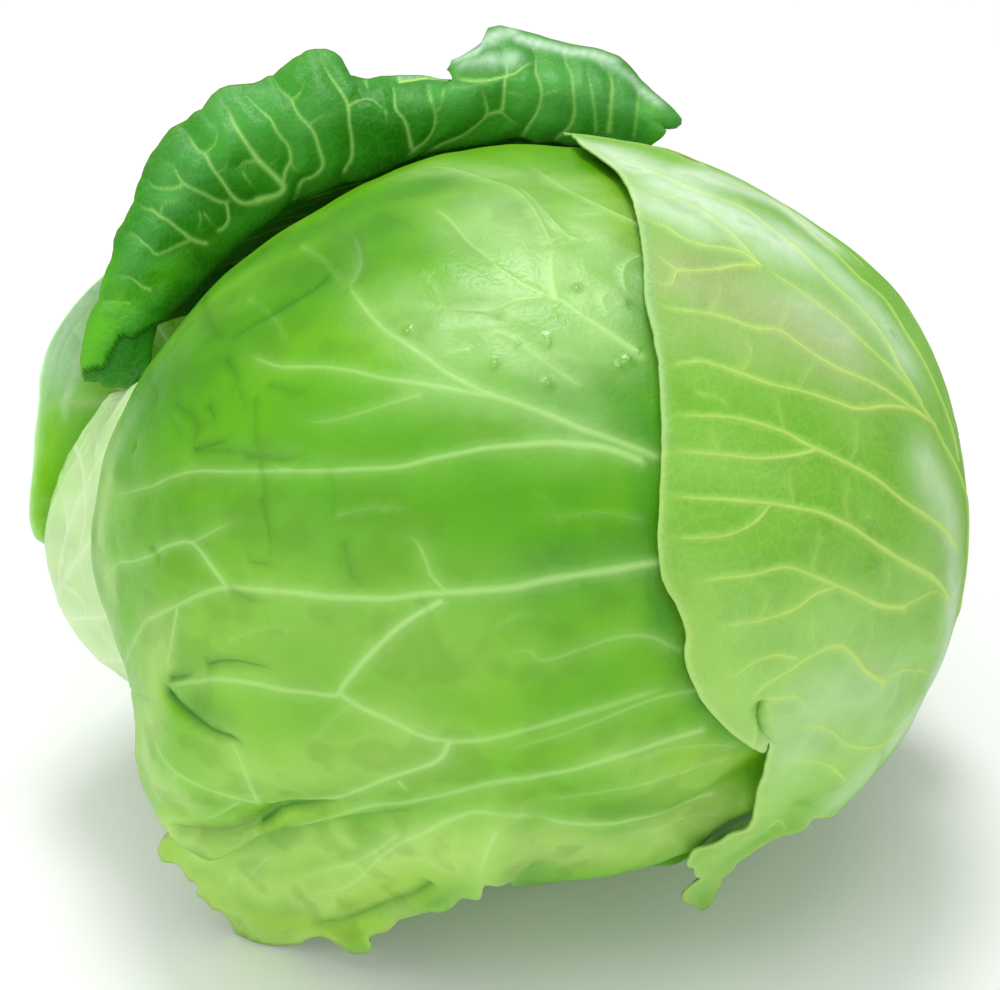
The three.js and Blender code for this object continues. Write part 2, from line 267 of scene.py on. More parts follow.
def inside(q, loop):
    """Which points of q lie inside the closed loop."""
    out = np.zeros(len(q), bool)
    a, b = loop, np.roll(loop, -1, axis=0)
    for c in range(0, len(q), 20000):
        p = q[c:c + 20000]
        up = (a[None, :, 1] > p[:, None, 1]) != (b[None, :, 1] > p[:, None, 1])
        with np.errstate(divide="ignore", invalid="ignore"):
            x = a[None, :, 0] + (p[:, None, 1] - a[None, :, 1]) * (b[None, :, 0] - a[None, :, 0]) / (b[None, :, 1] - a[None, :, 1])
        out[c:c + 20000] = (np.where(up, p[:, None, 0] < x, False).sum(1) % 2) == 1
    return out


def nearest(q, marks):
    """Distance from each point of q to the closest of marks, in the plane."""
    tree = KDTree(len(marks))
    for i, (x, y) in enumerate(marks.tolist()):
        tree.insert((x, y, 0.0), i)
    tree.balance()
    find = tree.find
    return np.array([find((x, y, 0.0))[2] for x, y in q.tolist()])


def within(q, loop):
    """As inside(), for many points: those far from the outline take the answer of a coarse grid."""
    far = nearest(q, loop)
    step = 3.0
    lo = q.min(0) - step
    cell = np.round((q - lo) / step).astype(int)
    key = cell[:, 0] * 100000 + cell[:, 1]
    ids, back = np.unique(key, return_inverse=True)
    nodes = np.stack([ids // 100000, ids % 100000], axis=1) * step + lo
    answer = inside(nodes, loop)[back]
    close = far < 3.2
    answer[close] = inside(q[close], loop)
    return answer, far


class Vein:
    """A line on a leaf in 3-D: half width and height in mm from its thick end to its thin one, and how pale it is."""

    def __init__(self, P, w0, w1, h, c, major=True):
        P = catmull(P, step=1.0)
        if len(P) > 4:
            P = P + 0.18 * np.stack([noise(P + 31 * k, 6.0) for k in range(3)], axis=1)
        self.P, self.h, self.c, self.major = P, h, c, major
        t = np.linspace(0, 1, len(P))
        self.w = (w0 + (w1 - w0) * t) * (1 + 0.18 * noise(P, 5.0))
        fade = smooth01((1 - t) * len(P) / 6.0)
        self.k = fade * (0.55 + 0.45 * (1 - t))


def vein_fields(P, veins, reach=9.0):
    """Paleness, relief in mm and the distance to the nearest main vein, for points P."""
    pale, relief, dist = np.zeros(len(P)), np.zeros(len(P)), np.full(len(P), reach)
    P32 = P.astype(np.float32)
    pieces = [(v, i, min(i + 12, len(v.P) - 1)) for v in veins for i in range(0, len(v.P) - 1, 12)]
    for v, first, last in pieces:
        part = v.P[first:last + 1]
        span = reach if v.major else 2.5
        lo, hi = part.min(0) - span, part.max(0) + span
        k = np.nonzero(((P32 > lo) & (P32 < hi)).all(1))[0]
        if not len(k):
            continue
        A, B = part[:-1].astype(np.float32), part[1:].astype(np.float32)
        D = B - A
        L = np.maximum((D ** 2).sum(1), 1e-9)
        for c in range(0, len(k), 6000):
            kk = k[c:c + 6000]
            p = P32[kk]
            t = np.clip(((p[:, None, :] - A[None]) * D[None]).sum(-1) / L, 0, 1)
            d2 = ((p[:, None, :] - A[None] - t[..., None] * D[None]) ** 2).sum(-1)
            j = d2.argmin(1)
            ii = np.arange(len(kk))
            d = np.sqrt(d2[ii, j])
            f = t[ii, j]
            w = v.w[first + j] * (1 - f) + v.w[first + j + 1] * f
            a = v.k[first + j] * (1 - f) + v.k[first + j + 1] * f
            g = np.exp(-(d / w) ** 2)
            pale[kk] = np.maximum(pale[kk], v.c * a * g)
            r = v.h * a * np.exp(-(d / (1.15 * w)) ** 2)
            relief[kk] = np.where(np.abs(r) > np.abs(relief[kk]), r, relief[kk])
            if v.major:
                dist[kk] = np.minimum(dist[kk], d + (1 - a) * 2.5)
    return pale, relief, dist


def soft_mask(P, spots):
    """Soft patches: each spot is (points in 3-D, reach in mm, strength)."""
    out = np.zeros(len(P))
    P32 = P.astype(np.float32)
    for line, s, k in spots:
        line = np.atleast_2d(line)
        if len(line) > 1:
            line = catmull(line, step=max(2.0, s * 0.5))
        d = np.full(len(P), 1e9, np.float32)
        for q in line.astype(np.float32):
            d = np.minimum(d, ((P32 - q) ** 2).sum(1))
        out = np.maximum(out, k * np.exp(-d / (2 * s * s))) if k > 0 else out + k * np.exp(-d / (2 * s * s))
    return np.clip(out, 0, 1)


def vertex_normals(P, F):
    n = np.cross(P[F[:, 1]] - P[F[:, 0]], P[F[:, 2]] - P[F[:, 0]])
    out = np.zeros_like(P)
    for k in range(3):
        np.add.at(out, F[:, k], n)
    return unit(out)


def mottle(P):
    """Wide and close mottling from 0 to 1, the close one drawn out along the leaf."""
    flow = np.stack([P @ RIGHT / 30.0, P @ BACK / 8.0, P @ UP / 6.0], axis=1)
    wide = 0.5 + 0.5 * noise(P, 24, 3)
    mid = 0.5 + 0.5 * np.clip(1.5 * (0.6 * noise(P + 11, 6.5, 3) + 0.4 * noise(flow, 1.0, 2)), -1, 1)
    return wide, mid


def add_mesh(name, P, F, attributes, material, replaces=()):
    me = bpy.data.meshes.new(name)
    me.vertices.add(len(P))
    me.vertices.foreach_set("co", (P * 0.001).astype(np.float32).ravel())
    me.loops.add(len(F) * 3)
    me.loops.foreach_set("vertex_index", F.astype(np.int32).ravel())
    me.polygons.add(len(F))
    me.polygons.foreach_set("loop_start", np.arange(0, len(F) * 3, 3, dtype=np.int32))
    me.polygons.foreach_set("loop_total", np.full(len(F), 3, dtype=np.int32))
    me.polygons.foreach_set("use_smooth", np.ones(len(F), bool))
    for key, values in attributes.items():
        a = me.attributes.new(key, "FLOAT", "POINT")
        a.data.foreach_set("value", np.asarray(values, np.float32))
    me.update(calc_edges=True)
    me.validate()
    me.materials.append(material)
    ob = bpy.data.objects.new(name, me)
    bpy.context.scene.collection.objects.link(ob)
    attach(ob, "root")
    if replaces:
        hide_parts(*replaces)
    return ob


def shell(P_out, P_in, F):
    """Closes two matching sides into one solid with a rim."""
    n = len(P_out)
    e = np.vstack([F[:, [0, 1]], F[:, [1, 2]], F[:, [2, 0]]])
    key = e[:, 0].astype(np.int64) * n + e[:, 1]
    back = e[:, 1].astype(np.int64) * n + e[:, 0]
    rim = e[~np.isin(key, back)]
    a, b = rim[:, 0], rim[:, 1]
    sides = np.vstack([np.stack([b, a, a + n], 1), np.stack([b, a + n, b + n], 1)])
    return np.vstack([P_out, P_in]), np.vstack([F, F[:, ::-1] + n, sides])


def facing(P, n):
    return (unit(CAM - P) * n).sum(-1)


def star_leaf(name, node, pole, loop, radius, veins, material, fine=1.1, coarse=1.9, thick=0.85, relief=None,
              masks=None, wild=0.25, floor=0.3, edge_lift=0.0, both_sides=False, creases=(), drops=()):
    """A leaf that lies over the head: loop is its outline as directions, radius(n) its outer face."""
    chart = Chart(*pole)
    flat_loop = chart.flat(loop)
    seg = np.linalg.norm(np.roll(flat_loop, -1, axis=0) - flat_loop, axis=1)
    flat_loop = flat_loop[seg > 0.05]
    line = catmull(flat_loop, step=0.85, closed=True)
    tan = unit(np.roll(line, -1, axis=0) - np.roll(line, 1, axis=0))
    nor = np.stack([tan[:, 1], -tan[:, 0]], axis=1)
    three = np.hstack([line, np.zeros((len(line), 1))])
    line = line + nor * (wild * (0.6 * noise(three, 4.5) + 0.5 * noise(three + 90, 1.9)))[:, None]
    area = 0.5 * np.sum(line[:, 0] * np.roll(line[:, 1], -1) - np.roll(line[:, 0], -1) * line[:, 1])
    if area < 0:
        line = line[::-1]
    lo, hi = line.min(0), line.max(0)

    def hexes(h):
        gx, gy = np.meshgrid(np.arange(lo[0], hi[0], h), np.arange(lo[1], hi[1], h * 0.866))
        gx = gx + (np.arange(len(gx)) % 2)[:, None] * h / 2
        q = np.stack([gx.ravel(), gy.ravel()], axis=1)
        rng = np.random.RandomState(5)
        return q + rng.uniform(-0.12, 0.12, q.shape) * h

    def seen(q, slack=-0.12):
        n = chart.lift(q)
        r = radius(n)
        P = CENTRE + n * r[:, None]
        return facing(P, n) > slack

    qf, qc = hexes(fine), hexes(coarse)
    q = np.vstack([qf[seen(qf)], qc[~seen(qc)]])
    ok, far = within(q, line)
    q = q[ok & (far > 0.55 * fine)]
    rows = []
    for v in list(veins) + list(creases):
        c = chart.flat(unit(v.P - CENTRE))
        t = unit(np.gradient(c, axis=0))
        s = np.stack([-t[:, 1], t[:, 0]], axis=1)
        for k in ((0, -0.6, 0.6, -1.3, 1.3) if v.major else (0, -0.9, 0.9)):
            rows.append(c + s * (k * v.w)[:, None])
    drop_flat = []
    for P, r in drops:
        c = chart.flat(unit(P - CENTRE)[None])[0]
        drop_flat.append((c, r))
        for k in (0.0, 0.3, 0.6, 0.85, 1.0, 1.15):
            turn = np.linspace(0, 2 * math.pi, max(1, int(1 + 14 * k)), endpoint=False)
            rows.append(c + r * k * np.stack([np.cos(turn), np.sin(turn)], axis=1))
    if rows:
        row = np.vstack(rows)
        ok, far = within(row, line)
        row = row[ok & (far > 0.5)]
        cell = np.round(row / (0.3 if not len(drops) else 0.24)).astype(int)
        _, first = np.unique(cell[:, 0].astype(np.int64) * 100003 + cell[:, 1], return_index=True)
        row = row[np.sort(first)]
        size = fine * 0.55
        grid = np.zeros((int((hi[0] - lo[0]) / size) + 5, int((hi[1] - lo[1]) / size) + 5), bool)
        g = ((row - lo) / size).astype(int) + 2
        g = np.clip(g, 1, np.array(grid.shape) - 2)
        for dx in (-1, 0, 1):
            for dy in (-1, 0, 1):
                grid[g[:, 0] + dx, g[:, 1] + dy] = True
        g = np.clip(((q - lo) / size).astype(int) + 2, 0, np.array(grid.shape) - 1)
        q = np.vstack([row, q[~grid[g[:, 0], g[:, 1]]]])
    count = len(line)
    verts = [tuple(v) for v in np.vstack([line, q])]
    edges = [(i, (i + 1) % count) for i in range(count)]
    res = delaunay_2d_cdt(verts, edges, [], 1, 1e-5, False)
    Q = np.array([tuple(v) for v in res[0]])
    F = np.array([f for f in res[2] if len(f) == 3])
    # faces outside the outline are dropped, all face outwards
    mid = Q[F].mean(1)
    F = F[within(mid, line)[0]]
    turn = np.cross(Q[F[:, 1]] - Q[F[:, 0]], Q[F[:, 2]] - Q[F[:, 0]])
    F[turn < 0] = F[turn < 0][:, ::-1]
    used = np.unique(F)
    remap = np.full(len(Q), -1)
    remap[used] = np.arange(len(used))
    Q, F = Q[used], remap[F]
    n = chart.lift(Q)
    base = CENTRE + n * radius(n)[:, None]
    base[:, 2] = np.maximum(base[:, 2], floor)
    normal = vertex_normals(base, F)
    margin = nearest(Q, line)
    pale, ridge, near = vein_fields(base, veins)
    dark = np.zeros(len(Q))
    lift = ridge.copy()
    if len(creases):
        # dark: how far into a crease each point lies; the material paints shade there with the fold colour (on the
        # front leaf partly its own darker streaks)
        dark, groove, _ = vein_fields(base, creases)
        lift = lift + groove
    if relief is not None:
        lift = lift + relief(base, n, near)
    lift = lift + edge_lift * np.exp(-(margin / 2.2) ** 2)
    wet = np.zeros(len(Q))
    for c, r in drop_flat:
        d = np.linalg.norm((Q - c) * [1.0, 0.85], axis=1) / r
        dome = np.sqrt(np.clip(1 - d ** 2, 0, 1))
        lift = lift + 0.5 * r * dome
        wet = np.maximum(wet, (d < 1.02).astype(float))
    out = base + normal * lift[:, None]
    normal2 = vertex_normals(out, F)
    body = thick * (0.35 + 0.65 * smooth01(margin / 2.5))
    inn = base + normal * (lift - np.where(lift > 0, lift * (0.0 if both_sides else 0.6), 0))[:, None] - normal2 * body[:, None]
    out[:, 2] = np.maximum(out[:, 2], floor)
    inn[:, 2] = np.maximum(inn[:, 2], floor + 0.35 * thick)
    P, T = shell(out, inn, F)
    att = {"vein": np.tile(pale, 2), "edge": np.tile(np.exp(-margin / 1.3), 2), "fold": np.tile(dark, 2),
           "near": np.tile(np.exp(-near / 2.5), 2), "under": np.concatenate([np.zeros(len(out)), np.ones(len(inn))]), "wet": np.tile(wet, 2)}
    wide, mid = mottle(base)
    att["wide"], att["mid"] = np.tile(wide, 2), np.tile(mid, 2)
    for key, spots in (masks or {}).items():
        a = soft_mask(base, spots)
        att[key] = np.concatenate([a * (0.25 if both_sides else 1), a])
    print(name, len(T), "triangles")
    return add_mesh(name, P, T, att, material, (node,))


# ---------------------------------------------------------------------------
# Materials
# ---------------------------------------------------------------------------
def rgb(r, g, b):
    c = [v / 255 for v in (r, g, b)]
    return tuple(v / 12.92 if v <= 0.04045 else ((v + 0.055) / 1.055) ** 2.4 for v in c) + (1.0,)


class Mat:
    def __init__(self, name):
        self.m = bpy.data.materials.new(name)
        self.m.use_nodes = True
        self.t = self.m.node_tree
        self.t.nodes.clear()
        self.out = self.t.nodes.new("ShaderNodeOutputMaterial")
        self.p = self.t.nodes.new("ShaderNodeBsdfPrincipled")
        self.t.links.new(self.p.outputs[0], self.out.inputs["Surface"])
        self.co = self.t.nodes.new("ShaderNodeTexCoord").outputs["Object"]

    def put(self, socket, value):
        if hasattr(value, "is_linked"):
            self.t.links.new(value, socket)
        else:
            socket.default_value = value

    def attr(self, name):
        n = self.t.nodes.new("ShaderNodeAttribute")
        n.attribute_name = name
        return n.outputs["Fac"]

    def calc(self, op, a, b=0.0, clamp=False):
        n = self.t.nodes.new("ShaderNodeMath")
        n.operation = op
        n.use_clamp = clamp
        self.put(n.inputs[0], a)
        self.put(n.inputs[1], b)
        return n.outputs[0]

    def blend(self, fac, a, b):
        n = self.t.nodes.new("ShaderNodeMix")
        n.data_type = "RGBA"
        self.put(n.inputs[0], fac)
        self.put(n.inputs[6], a)
        self.put(n.inputs[7], b)
        return n.outputs[2]

    def noise(self, scale, detail=3.0, rough=0.5, bend=0.0, vector=None):
        n = self.t.nodes.new("ShaderNodeTexNoise")
        self.put(n.inputs["Vector"], vector or self.co)
        n.inputs["Scale"].default_value = scale
        n.inputs["Detail"].default_value = detail
        n.inputs["Roughness"].default_value = rough
        n.inputs["Distortion"].default_value = bend
        return n

    def cells(self, scale, vector=None):
        n = self.t.nodes.new("ShaderNodeTexVoronoi")
        n.feature = "DISTANCE_TO_EDGE"
        self.put(n.inputs["Vector"], vector or self.co)
        n.inputs["Scale"].default_value = scale
        return n.outputs["Distance"]

    def band(self, value, a, b, c=0.0, d=1.0):
        n = self.t.nodes.new("ShaderNodeMapRange")
        n.interpolation_type = "SMOOTHSTEP"
        self.put(n.inputs[0], value)
        n.inputs[1].default_value = a
        n.inputs[2].default_value = b
        n.inputs[3].default_value = c
        n.inputs[4].default_value = d
        return n.outputs[0]

    def warp(self, scale, amount):
        """Coordinates bent by noise, so that cells don't look like cells."""
        n = self.noise(scale, 1.0)
        sub = self.t.nodes.new("ShaderNodeVectorMath")
        sub.operation = "SUBTRACT"
        self.put(sub.inputs[0], n.outputs["Color"])
        sub.inputs[1].default_value = (0.5, 0.5, 0.5)
        mul = self.t.nodes.new("ShaderNodeVectorMath")
        mul.operation = "SCALE"
        self.put(mul.inputs[0], sub.outputs[0])
        mul.inputs["Scale"].default_value = amount
        add = self.t.nodes.new("ShaderNodeVectorMath")
        add.operation = "ADD"
        self.put(add.inputs[0], self.co)
        self.put(add.inputs[1], mul.outputs[0])
        return add.outputs[0]


def leaf_material(name, base, second, patches=(), vein=(170, 215, 120), vein_k=1.0, net=(170, 215, 120), net_scale=260, net_k=0.3,
                  edge=(190, 220, 130), edge_k=0.4, fold=(60, 130, 10), fold_k=0.8, under=None, rough=0.45, spec=0.3,
                  bump=0.35, freckles=0.15, halo=0.0, painted_glow=0.0, plain=False):
    """plain: the mesh has no attributes of its own, so the mottling comes from noise."""
    m = Mat(name)
    wide = m.noise(38, 3.0, 0.55, 0.3).outputs["Fac"] if plain else m.attr("wide")
    mid = m.noise(140, 3.0, 0.6, 0.2).outputs["Fac"] if plain else m.attr("mid")
    tiny = m.noise(820, 2.0, 0.6).outputs["Fac"]
    c = m.blend(m.band(wide, 0.36, 0.66), rgb(*base), rgb(*second))
    for key, colour, k in patches:
        a = m.attr(key)
        ragged = m.calc("ADD", a, m.calc("MULTIPLY", m.calc("SUBTRACT", mid, 0.5), m.calc("MULTIPLY", a, 0.9)), True)
        c = m.blend(m.calc("MULTIPLY", ragged, k), c, rgb(*colour))
    dark = tuple(int(v * 0.80) for v in base)
    c = m.blend(m.calc("MULTIPLY", m.band(mid, 0.50, 0.72), freckles), c, rgb(*dark))
    if net_k:
        lines = m.calc("MULTIPLY", m.band(m.cells(net_scale, m.warp(120, 0.006)), 0.0, 0.11, 1.0, 0.0), m.band(wide, 0.25, 0.6, 0.5, 1.0))
        c = m.blend(m.calc("MULTIPLY", lines, net_k), c, rgb(*net))
    if halo:
        c = m.blend(m.calc("MULTIPLY", m.attr("near"), halo), c, rgb(*vein))
    va = m.attr("vein")
    c = m.blend(m.calc("MULTIPLY", va, vein_k, True), c, rgb(*vein))
    # fold: painted shade darkening the crease grooves, and on the front leaf also its own darker streaks
    c = m.blend(m.calc("MULTIPLY", m.attr("fold"), fold_k, True), c, rgb(*fold))
    c = m.blend(m.calc("MULTIPLY", m.attr("edge"), edge_k, True), c, rgb(*edge))
    if under:
        c = m.blend(m.calc("MULTIPLY", m.attr("under"), 0.75), c, rgb(*under))
    m.put(m.p.inputs["Base Color"], c)
    r = m.calc("ADD", m.calc("MULTIPLY", m.calc("SUBTRACT", mid, 0.5), 0.25), rough)
    r = m.calc("ADD", r, m.calc("MULTIPLY", va, 0.08), True)
    r = m.calc("SUBTRACT", r, m.calc("MULTIPLY", m.attr("wet"), 0.5), True)
    m.put(m.p.inputs["Roughness"], r)
    m.p.inputs["Specular IOR Level"].default_value = spec
    if painted_glow:
        # painted glow: emission in the leaf's own colour, standing in for light that comes through a thin leaf from
        # behind
        m.put(m.p.inputs["Emission Color"], c)
        m.p.inputs["Emission Strength"].default_value = painted_glow
    b = m.t.nodes.new("ShaderNodeBump")
    b.inputs["Strength"].default_value = bump
    b.inputs["Distance"].default_value = 0.0006
    m.put(b.inputs["Height"], tiny)
    m.put(m.p.inputs["Normal"], b.outputs[0])
    return m.m


# ---------------------------------------------------------------------------
# Lines and outlines
# ---------------------------------------------------------------------------
def on_leaf(text, radius):
    """Pixels of the photograph's frame laid on a leaf's outer face."""
    p = pts(text)
    return hit(p[:, 0], p[:, 1], radius)


def dirs(text, radius):
    return unit(on_leaf(text, radius) - CENTRE)


def limb_dirs(text, radius, reach=4):
    """As dirs(), for an outline along the silhouette, where the depth of each point has to be evened out."""
    p = pts(text)
    b = (hit(p[:, 0], p[:, 1], radius) - CENTRE) @ BACK
    k = np.exp(-(np.arange(-reach, reach + 1) / (0.55 * reach)) ** 2)
    b = np.convolve(np.pad(b, reach, mode="edge"), k / k.sum(), mode="valid")
    return unit(at_depth(p[:, 0], p[:, 1], b) - CENTRE)


def ab(*pairs):
    p = np.array(pairs, float)
    return direction(p[:, 0], p[:, 1])


def between(a0, b0, a1, b1, n=8):
    return direction(np.linspace(a0, a1, n), np.linspace(b0, b1, n))


def venation(chart, loop, root, tip, radius, keep, seed, count=9, angle=46, w0=2.6, w1=0.8, h=1.0, lat=(0.9, 0.35), lh=0.45, c=0.9,
             start=0.10, stop=0.86, bow=0.0):
    """A midrib from root to tip with laterals and their forks, for what the photograph doesn't show."""
    rng = np.random.RandomState(seed)
    a, b = chart.flat(direction(*root)[None])[0], chart.flat(direction(*tip)[None])[0]
    side = np.array([-(b - a)[1], (b - a)[0]])
    t = np.linspace(0, 1, 24)[:, None]
    mid = a + (b - a) * t + side * (bow * np.sin(math.pi * t))
    length = np.linalg.norm(b - a)
    rows = [(mid, w0, w1, h, c)]
    for s in (-1, 1):
        for i in range(count):
            f = start + (stop - start) * (i + 0.5 * (s > 0) + rng.uniform(-0.15, 0.15)) / count
            k = np.interp(f, t[:, 0], np.arange(24))
            p = mid[int(k)] + (k % 1) * (mid[min(int(k) + 1, 23)] - mid[int(k)])
            ax = unit(b - a)
            ang = math.radians(angle * (1.15 - 0.35 * f)) * s
            L = length * (0.75 - 0.35 * f)
            q, line = p.copy(), [p.copy()]
            turn = -s * math.radians(24) / 14
            for j in range(14):
                d = np.array([ax[0] * math.cos(ang) - ax[1] * math.sin(ang), ax[0] * math.sin(ang) + ax[1] * math.cos(ang)])
                q = q + d * L / 14
                ang += turn + rng.uniform(-0.05, 0.05)
                line.append(q.copy())
            rows.append((np.array(line), lat[0] * (1.1 - 0.5 * f), lat[1] * 0.6, lh * (1.1 - 0.5 * f), c * 0.85))
            for m in (4, 7, 10):
                q = line[m].copy()
                s2 = 1 if (m // 3) % 2 else -1
                g = math.atan2(*(line[m + 1] - line[m])[::-1]) + s2 * rng.uniform(0.6, 0.95)
                fork = [q.copy()]
                for j in range(7):
                    q = q + np.array([math.cos(g), math.sin(g)]) * L * 0.035
                    g -= s2 * 0.05
                    fork.append(q.copy())
                rows.append((np.array(fork), 0.35, 0.22, 0.18, c * 0.6))
    out = []
    flat = chart.flat(loop)
    for k, (line, wa, wb, hh, cc) in enumerate(rows):
        line = catmull(line, step=1.5)
        n = chart.lift(line)
        P = CENTRE + n * radius(n)[:, None]
        ok = inside(line, flat) & keep(P, n)
        cut = np.nonzero(~ok)[0]
        cut = cut[cut > 2]
        first = np.argmax(ok) if ok.any() else len(ok)
        cut = cut[cut > first]
        end = cut[0] if len(cut) else len(ok)
        if end - first > 4:
            out.append(Vein(P[first:end], wa, wb, hh, cc, k % 4 == 0 or k == 0))
    return out


def lines_on(radius, rows, w=1.0, h=1.0, c=1.0, major=True):
    """rows of (pixels, w0, w1, h, c) as veins on a leaf."""
    out = []
    for text, w0, w1, hh, cc in rows:
        P = on_leaf(text, radius)
        ok = [0] + [i for i in range(1, len(P)) if np.linalg.norm(P[i] - P[i - 1]) > 0.4]
        P = P[ok]
        if len(P) > 1:
            out.append(Vein(P, w0 * w, w1 * w, hh * h, cc * c, major and hh > 0.15))
    return out


everywhere = lambda P, n: np.ones(len(P), bool)
turned_away = lambda P, n: facing(P, n) < 0.10
STEM_A = 8.4                       # degrees from the stem axis where the leaves begin


# ---------------------------------------------------------------------------
# Front leaf
# ---------------------------------------------------------------------------
def loft(lines, across, steps):
    rows = [catmull(l, n=across) if len(l) > 2 else l for l in lines]
    out = []
    for a, b, n in zip(rows, rows[1:], steps):
        for t in np.linspace(0, 1, n + 1)[:-1]:
            out.append(a * (1 - t) + b * t)
    out.append(rows[-1])
    return np.vstack(out)


flap_edge = pts("(160,845,24)(172,865,19)(190,883,14)(208,905,9)(228,924,5)(250,940,2)(280,943,1)(310,943,1)(340,945,1)(365,945,1)(385,930,3)(410,916,6)(440,909,8)(465,898,12)(490,888,17)(520,884,22)")
P = at_height(flap_edge[:, 0], flap_edge[:, 1], flap_edge[:, 2])
n = unit(P - CENTRE)
edge_line = np.column_stack([flap_edge[:, :2], np.linalg.norm(P - CENTRE, axis=1) - head(n)])
crease = np.column_stack([pts("(166,833)(185,833)(200,833)(218,832)(235,830)(250,825)(262,820)(270,815)(280,808)(310,806)(335,803)(360,800)(395,798)(430,797)(465,797)(500,797)"),
                          [12, 10, 8.5, 7, 5.5, 3.5, 2, 0.5, -0.5, -1, -1, -1, -0.8, -0.6, -0.3, 0]])
crest = np.column_stack([pts("(141,790)(150,790)(170,793)(190,795)(215,795)(235,795)(255,790)(275,780)(305,775)(330,772)(350,768)(380,765)(410,765)(440,765)(470,765)(510,765)"),
                         [11.5, 12, 12, 11, 10, 9, 7.5, 6, 5, 4, 3, 2, 1.2, .6, .3, 0]])
upper = np.column_stack([pts("(139,715)(160,713)(180,711)(200,708)(225,705)(250,702)(275,699)(295,697)(310,695)(340,694)(370,694)(400,694)(430,694)(460,694)(490,694)(510,694)"),
                         [4.5, 5, 5, 4.5, 4, 3.4, 2.8, 2.2, 1.6, .8, .4, 0, 0, 0, 0, 0]])
zero = np.column_stack([pts("(122,648)(150,645)(175,643)(200,642)(225,641)(250,640)(275,640)(295,640)(310,640)(340,640)(370,640)(400,640)(430,640)(460,640)(490,640)(510,640)"), np.zeros(16)])
mid_flap = 0.5 * (catmull(edge_line, n=40) + catmull(crease, n=40)) + [0, 0, 1.2]
samples = loft([edge_line, mid_flap, crease, crest, upper, zero], 40, [5, 5, 6, 7, 6])
n = []
for k in range(0, len(samples), 200):
    s = samples[k:k + 200]
    for d in np.unique(np.round(s[:, 2] * 2) / 2):
        i = np.nonzero(np.round(s[:, 2] * 2) / 2 == d)[0]
        n.append((k + i, unit(hit(s[i, 0], s[i, 1], lambda q, d=d: head(q) + d, 160) - CENTRE)))
n_all = np.zeros((len(samples), 3))
for i, v in n:
    n_all[i] = v
# the lower right limb of the leaf lies a little inside the plain head
limb = pts("(545,868,-1)(600,860,-2)(650,845,-3)(690,828,-4)(720,812,-5)(750,790,-5)(545,840,-.5)(600,830,-1)(650,815,-1.5)(690,795,-2)(725,770,-2.5)(560,800,0)(620,790,0)(680,765,0)(740,735,0)(740,690,0)")
limb_n = unit(hit(limb[:, 0], limb[:, 1], head) - CENTRE)
# the same limb, past what the camera sees
under_limb = np.array([(84, 66, -3), (76, 62, -4), (70, 55, -5), (66, 46, -5), (80, 74, -2.5), (70, 70, -3), (60, 62, -3), (90, 68, -1.5), (60, 80, -1), (75, 88, 0), (88, 84, 0), (60, 30, -2), (50, 50, -1)], float)
# the upper left of the leaf is flatter than the head, which leaves the collar's inner side in view
sunk = pts("(129,385)(142,371)(156,348)(177,325)(194,308)(210,290)(220,270)(235,255)(255,245)(272,234)(290,222)(305,217)(322,211)(350,201)(370,183)(390,172)(412,163)(440,157)")
sunk_d = np.array([2.6, 4.4, 5.2, 5.3, 5.3, 5.1, 4.8, 4.8, 4.6, 4.4, 4.2, 4.0, 3.8, 3.4, 2.6, 1.8, 1.0, .4])
sunk_n, sunk_v = [], []
for (x, y), d in zip(sunk, sunk_d):
    q = unit(hit(np.array([x]), np.array([y]), lambda q, d=d: head(q) - d, 240)[0] - CENTRE)
    side = unit(q - (q @ BACK) * BACK)
    lean = math.degrees(math.asin(float(q @ BACK)))
    for turn, share in ((-40, 0), (-28, .6), (-20, 1), (-13, 1), (-7, 1), (0, 1), (5, .95), (10, .6), (15, .3), (21, .1), (28, 0), (36, 0)):
        g = math.radians(min(lean, 6) + turn)
        sunk_n.append(math.cos(g) * side + math.sin(g) * BACK)
        sunk_v.append(-d * share)
front_field = Field(np.vstack([n_all, limb_n, direction(under_limb[:, 0], under_limb[:, 1]), np.array(sunk_n)]),
                    np.concatenate([samples[:, 2], limb[:, 2], under_limb[:, 2], sunk_v]), 2.4)


# the flap under the crease is a sheet of its own, from the crease down to the floor
flap_at = [hit(np.array([x]), np.array([y]), lambda q, d=d: head(q) + d)[0] for x, y, d in ((190.0, 833.0, 8.5), (460.0, 800.0, 0.6))]
flap_at.append(at_height(300.0, 943.0, 4.0))
flap_n = unit(np.cross(flap_at[1] - flap_at[0], flap_at[2] - flap_at[0]))
if (flap_at[0] - CENTRE) @ flap_n < 0:
    flap_n = -flap_n
FLAP_X = [150, 190, 240, 300, 360, 400, 450, 510, 560]
FLAP_Y = [858, 885, 940, 946, 954, 925, 912, 886, 880]


def front_radius(n):
    plain = head(n) + front_field(n)
    lean = n @ flap_n
    flat = ((flap_at[0] - CENTRE) @ flap_n) / np.maximum(lean, 0.15)
    P = CENTRE + n * flat[:, None]
    x, y = project(P)
    down = (y - np.interp(x, crease[:, 0], crease[:, 1])) / 110
    past = y - np.interp(x, FLAP_X, FLAP_Y)
    w = smooth01((down + 0.03) / 0.13) * smooth01((545 - x) / 70) * smooth01((x - 138) / 16) * smooth01((lean - 0.45) / 0.1) * smooth01((36 - past) / 26)
    flat = np.minimum(flat, head(n) + 26)
    sheet = flat + 2.4 * np.sin(math.pi * np.clip(down, 0, 1)) + 0.7 * np.sin(x / 11.0 + y / 23.0) * smooth01((down - 0.45) / 0.5)
    return plain * (1 - w) + sheet * w


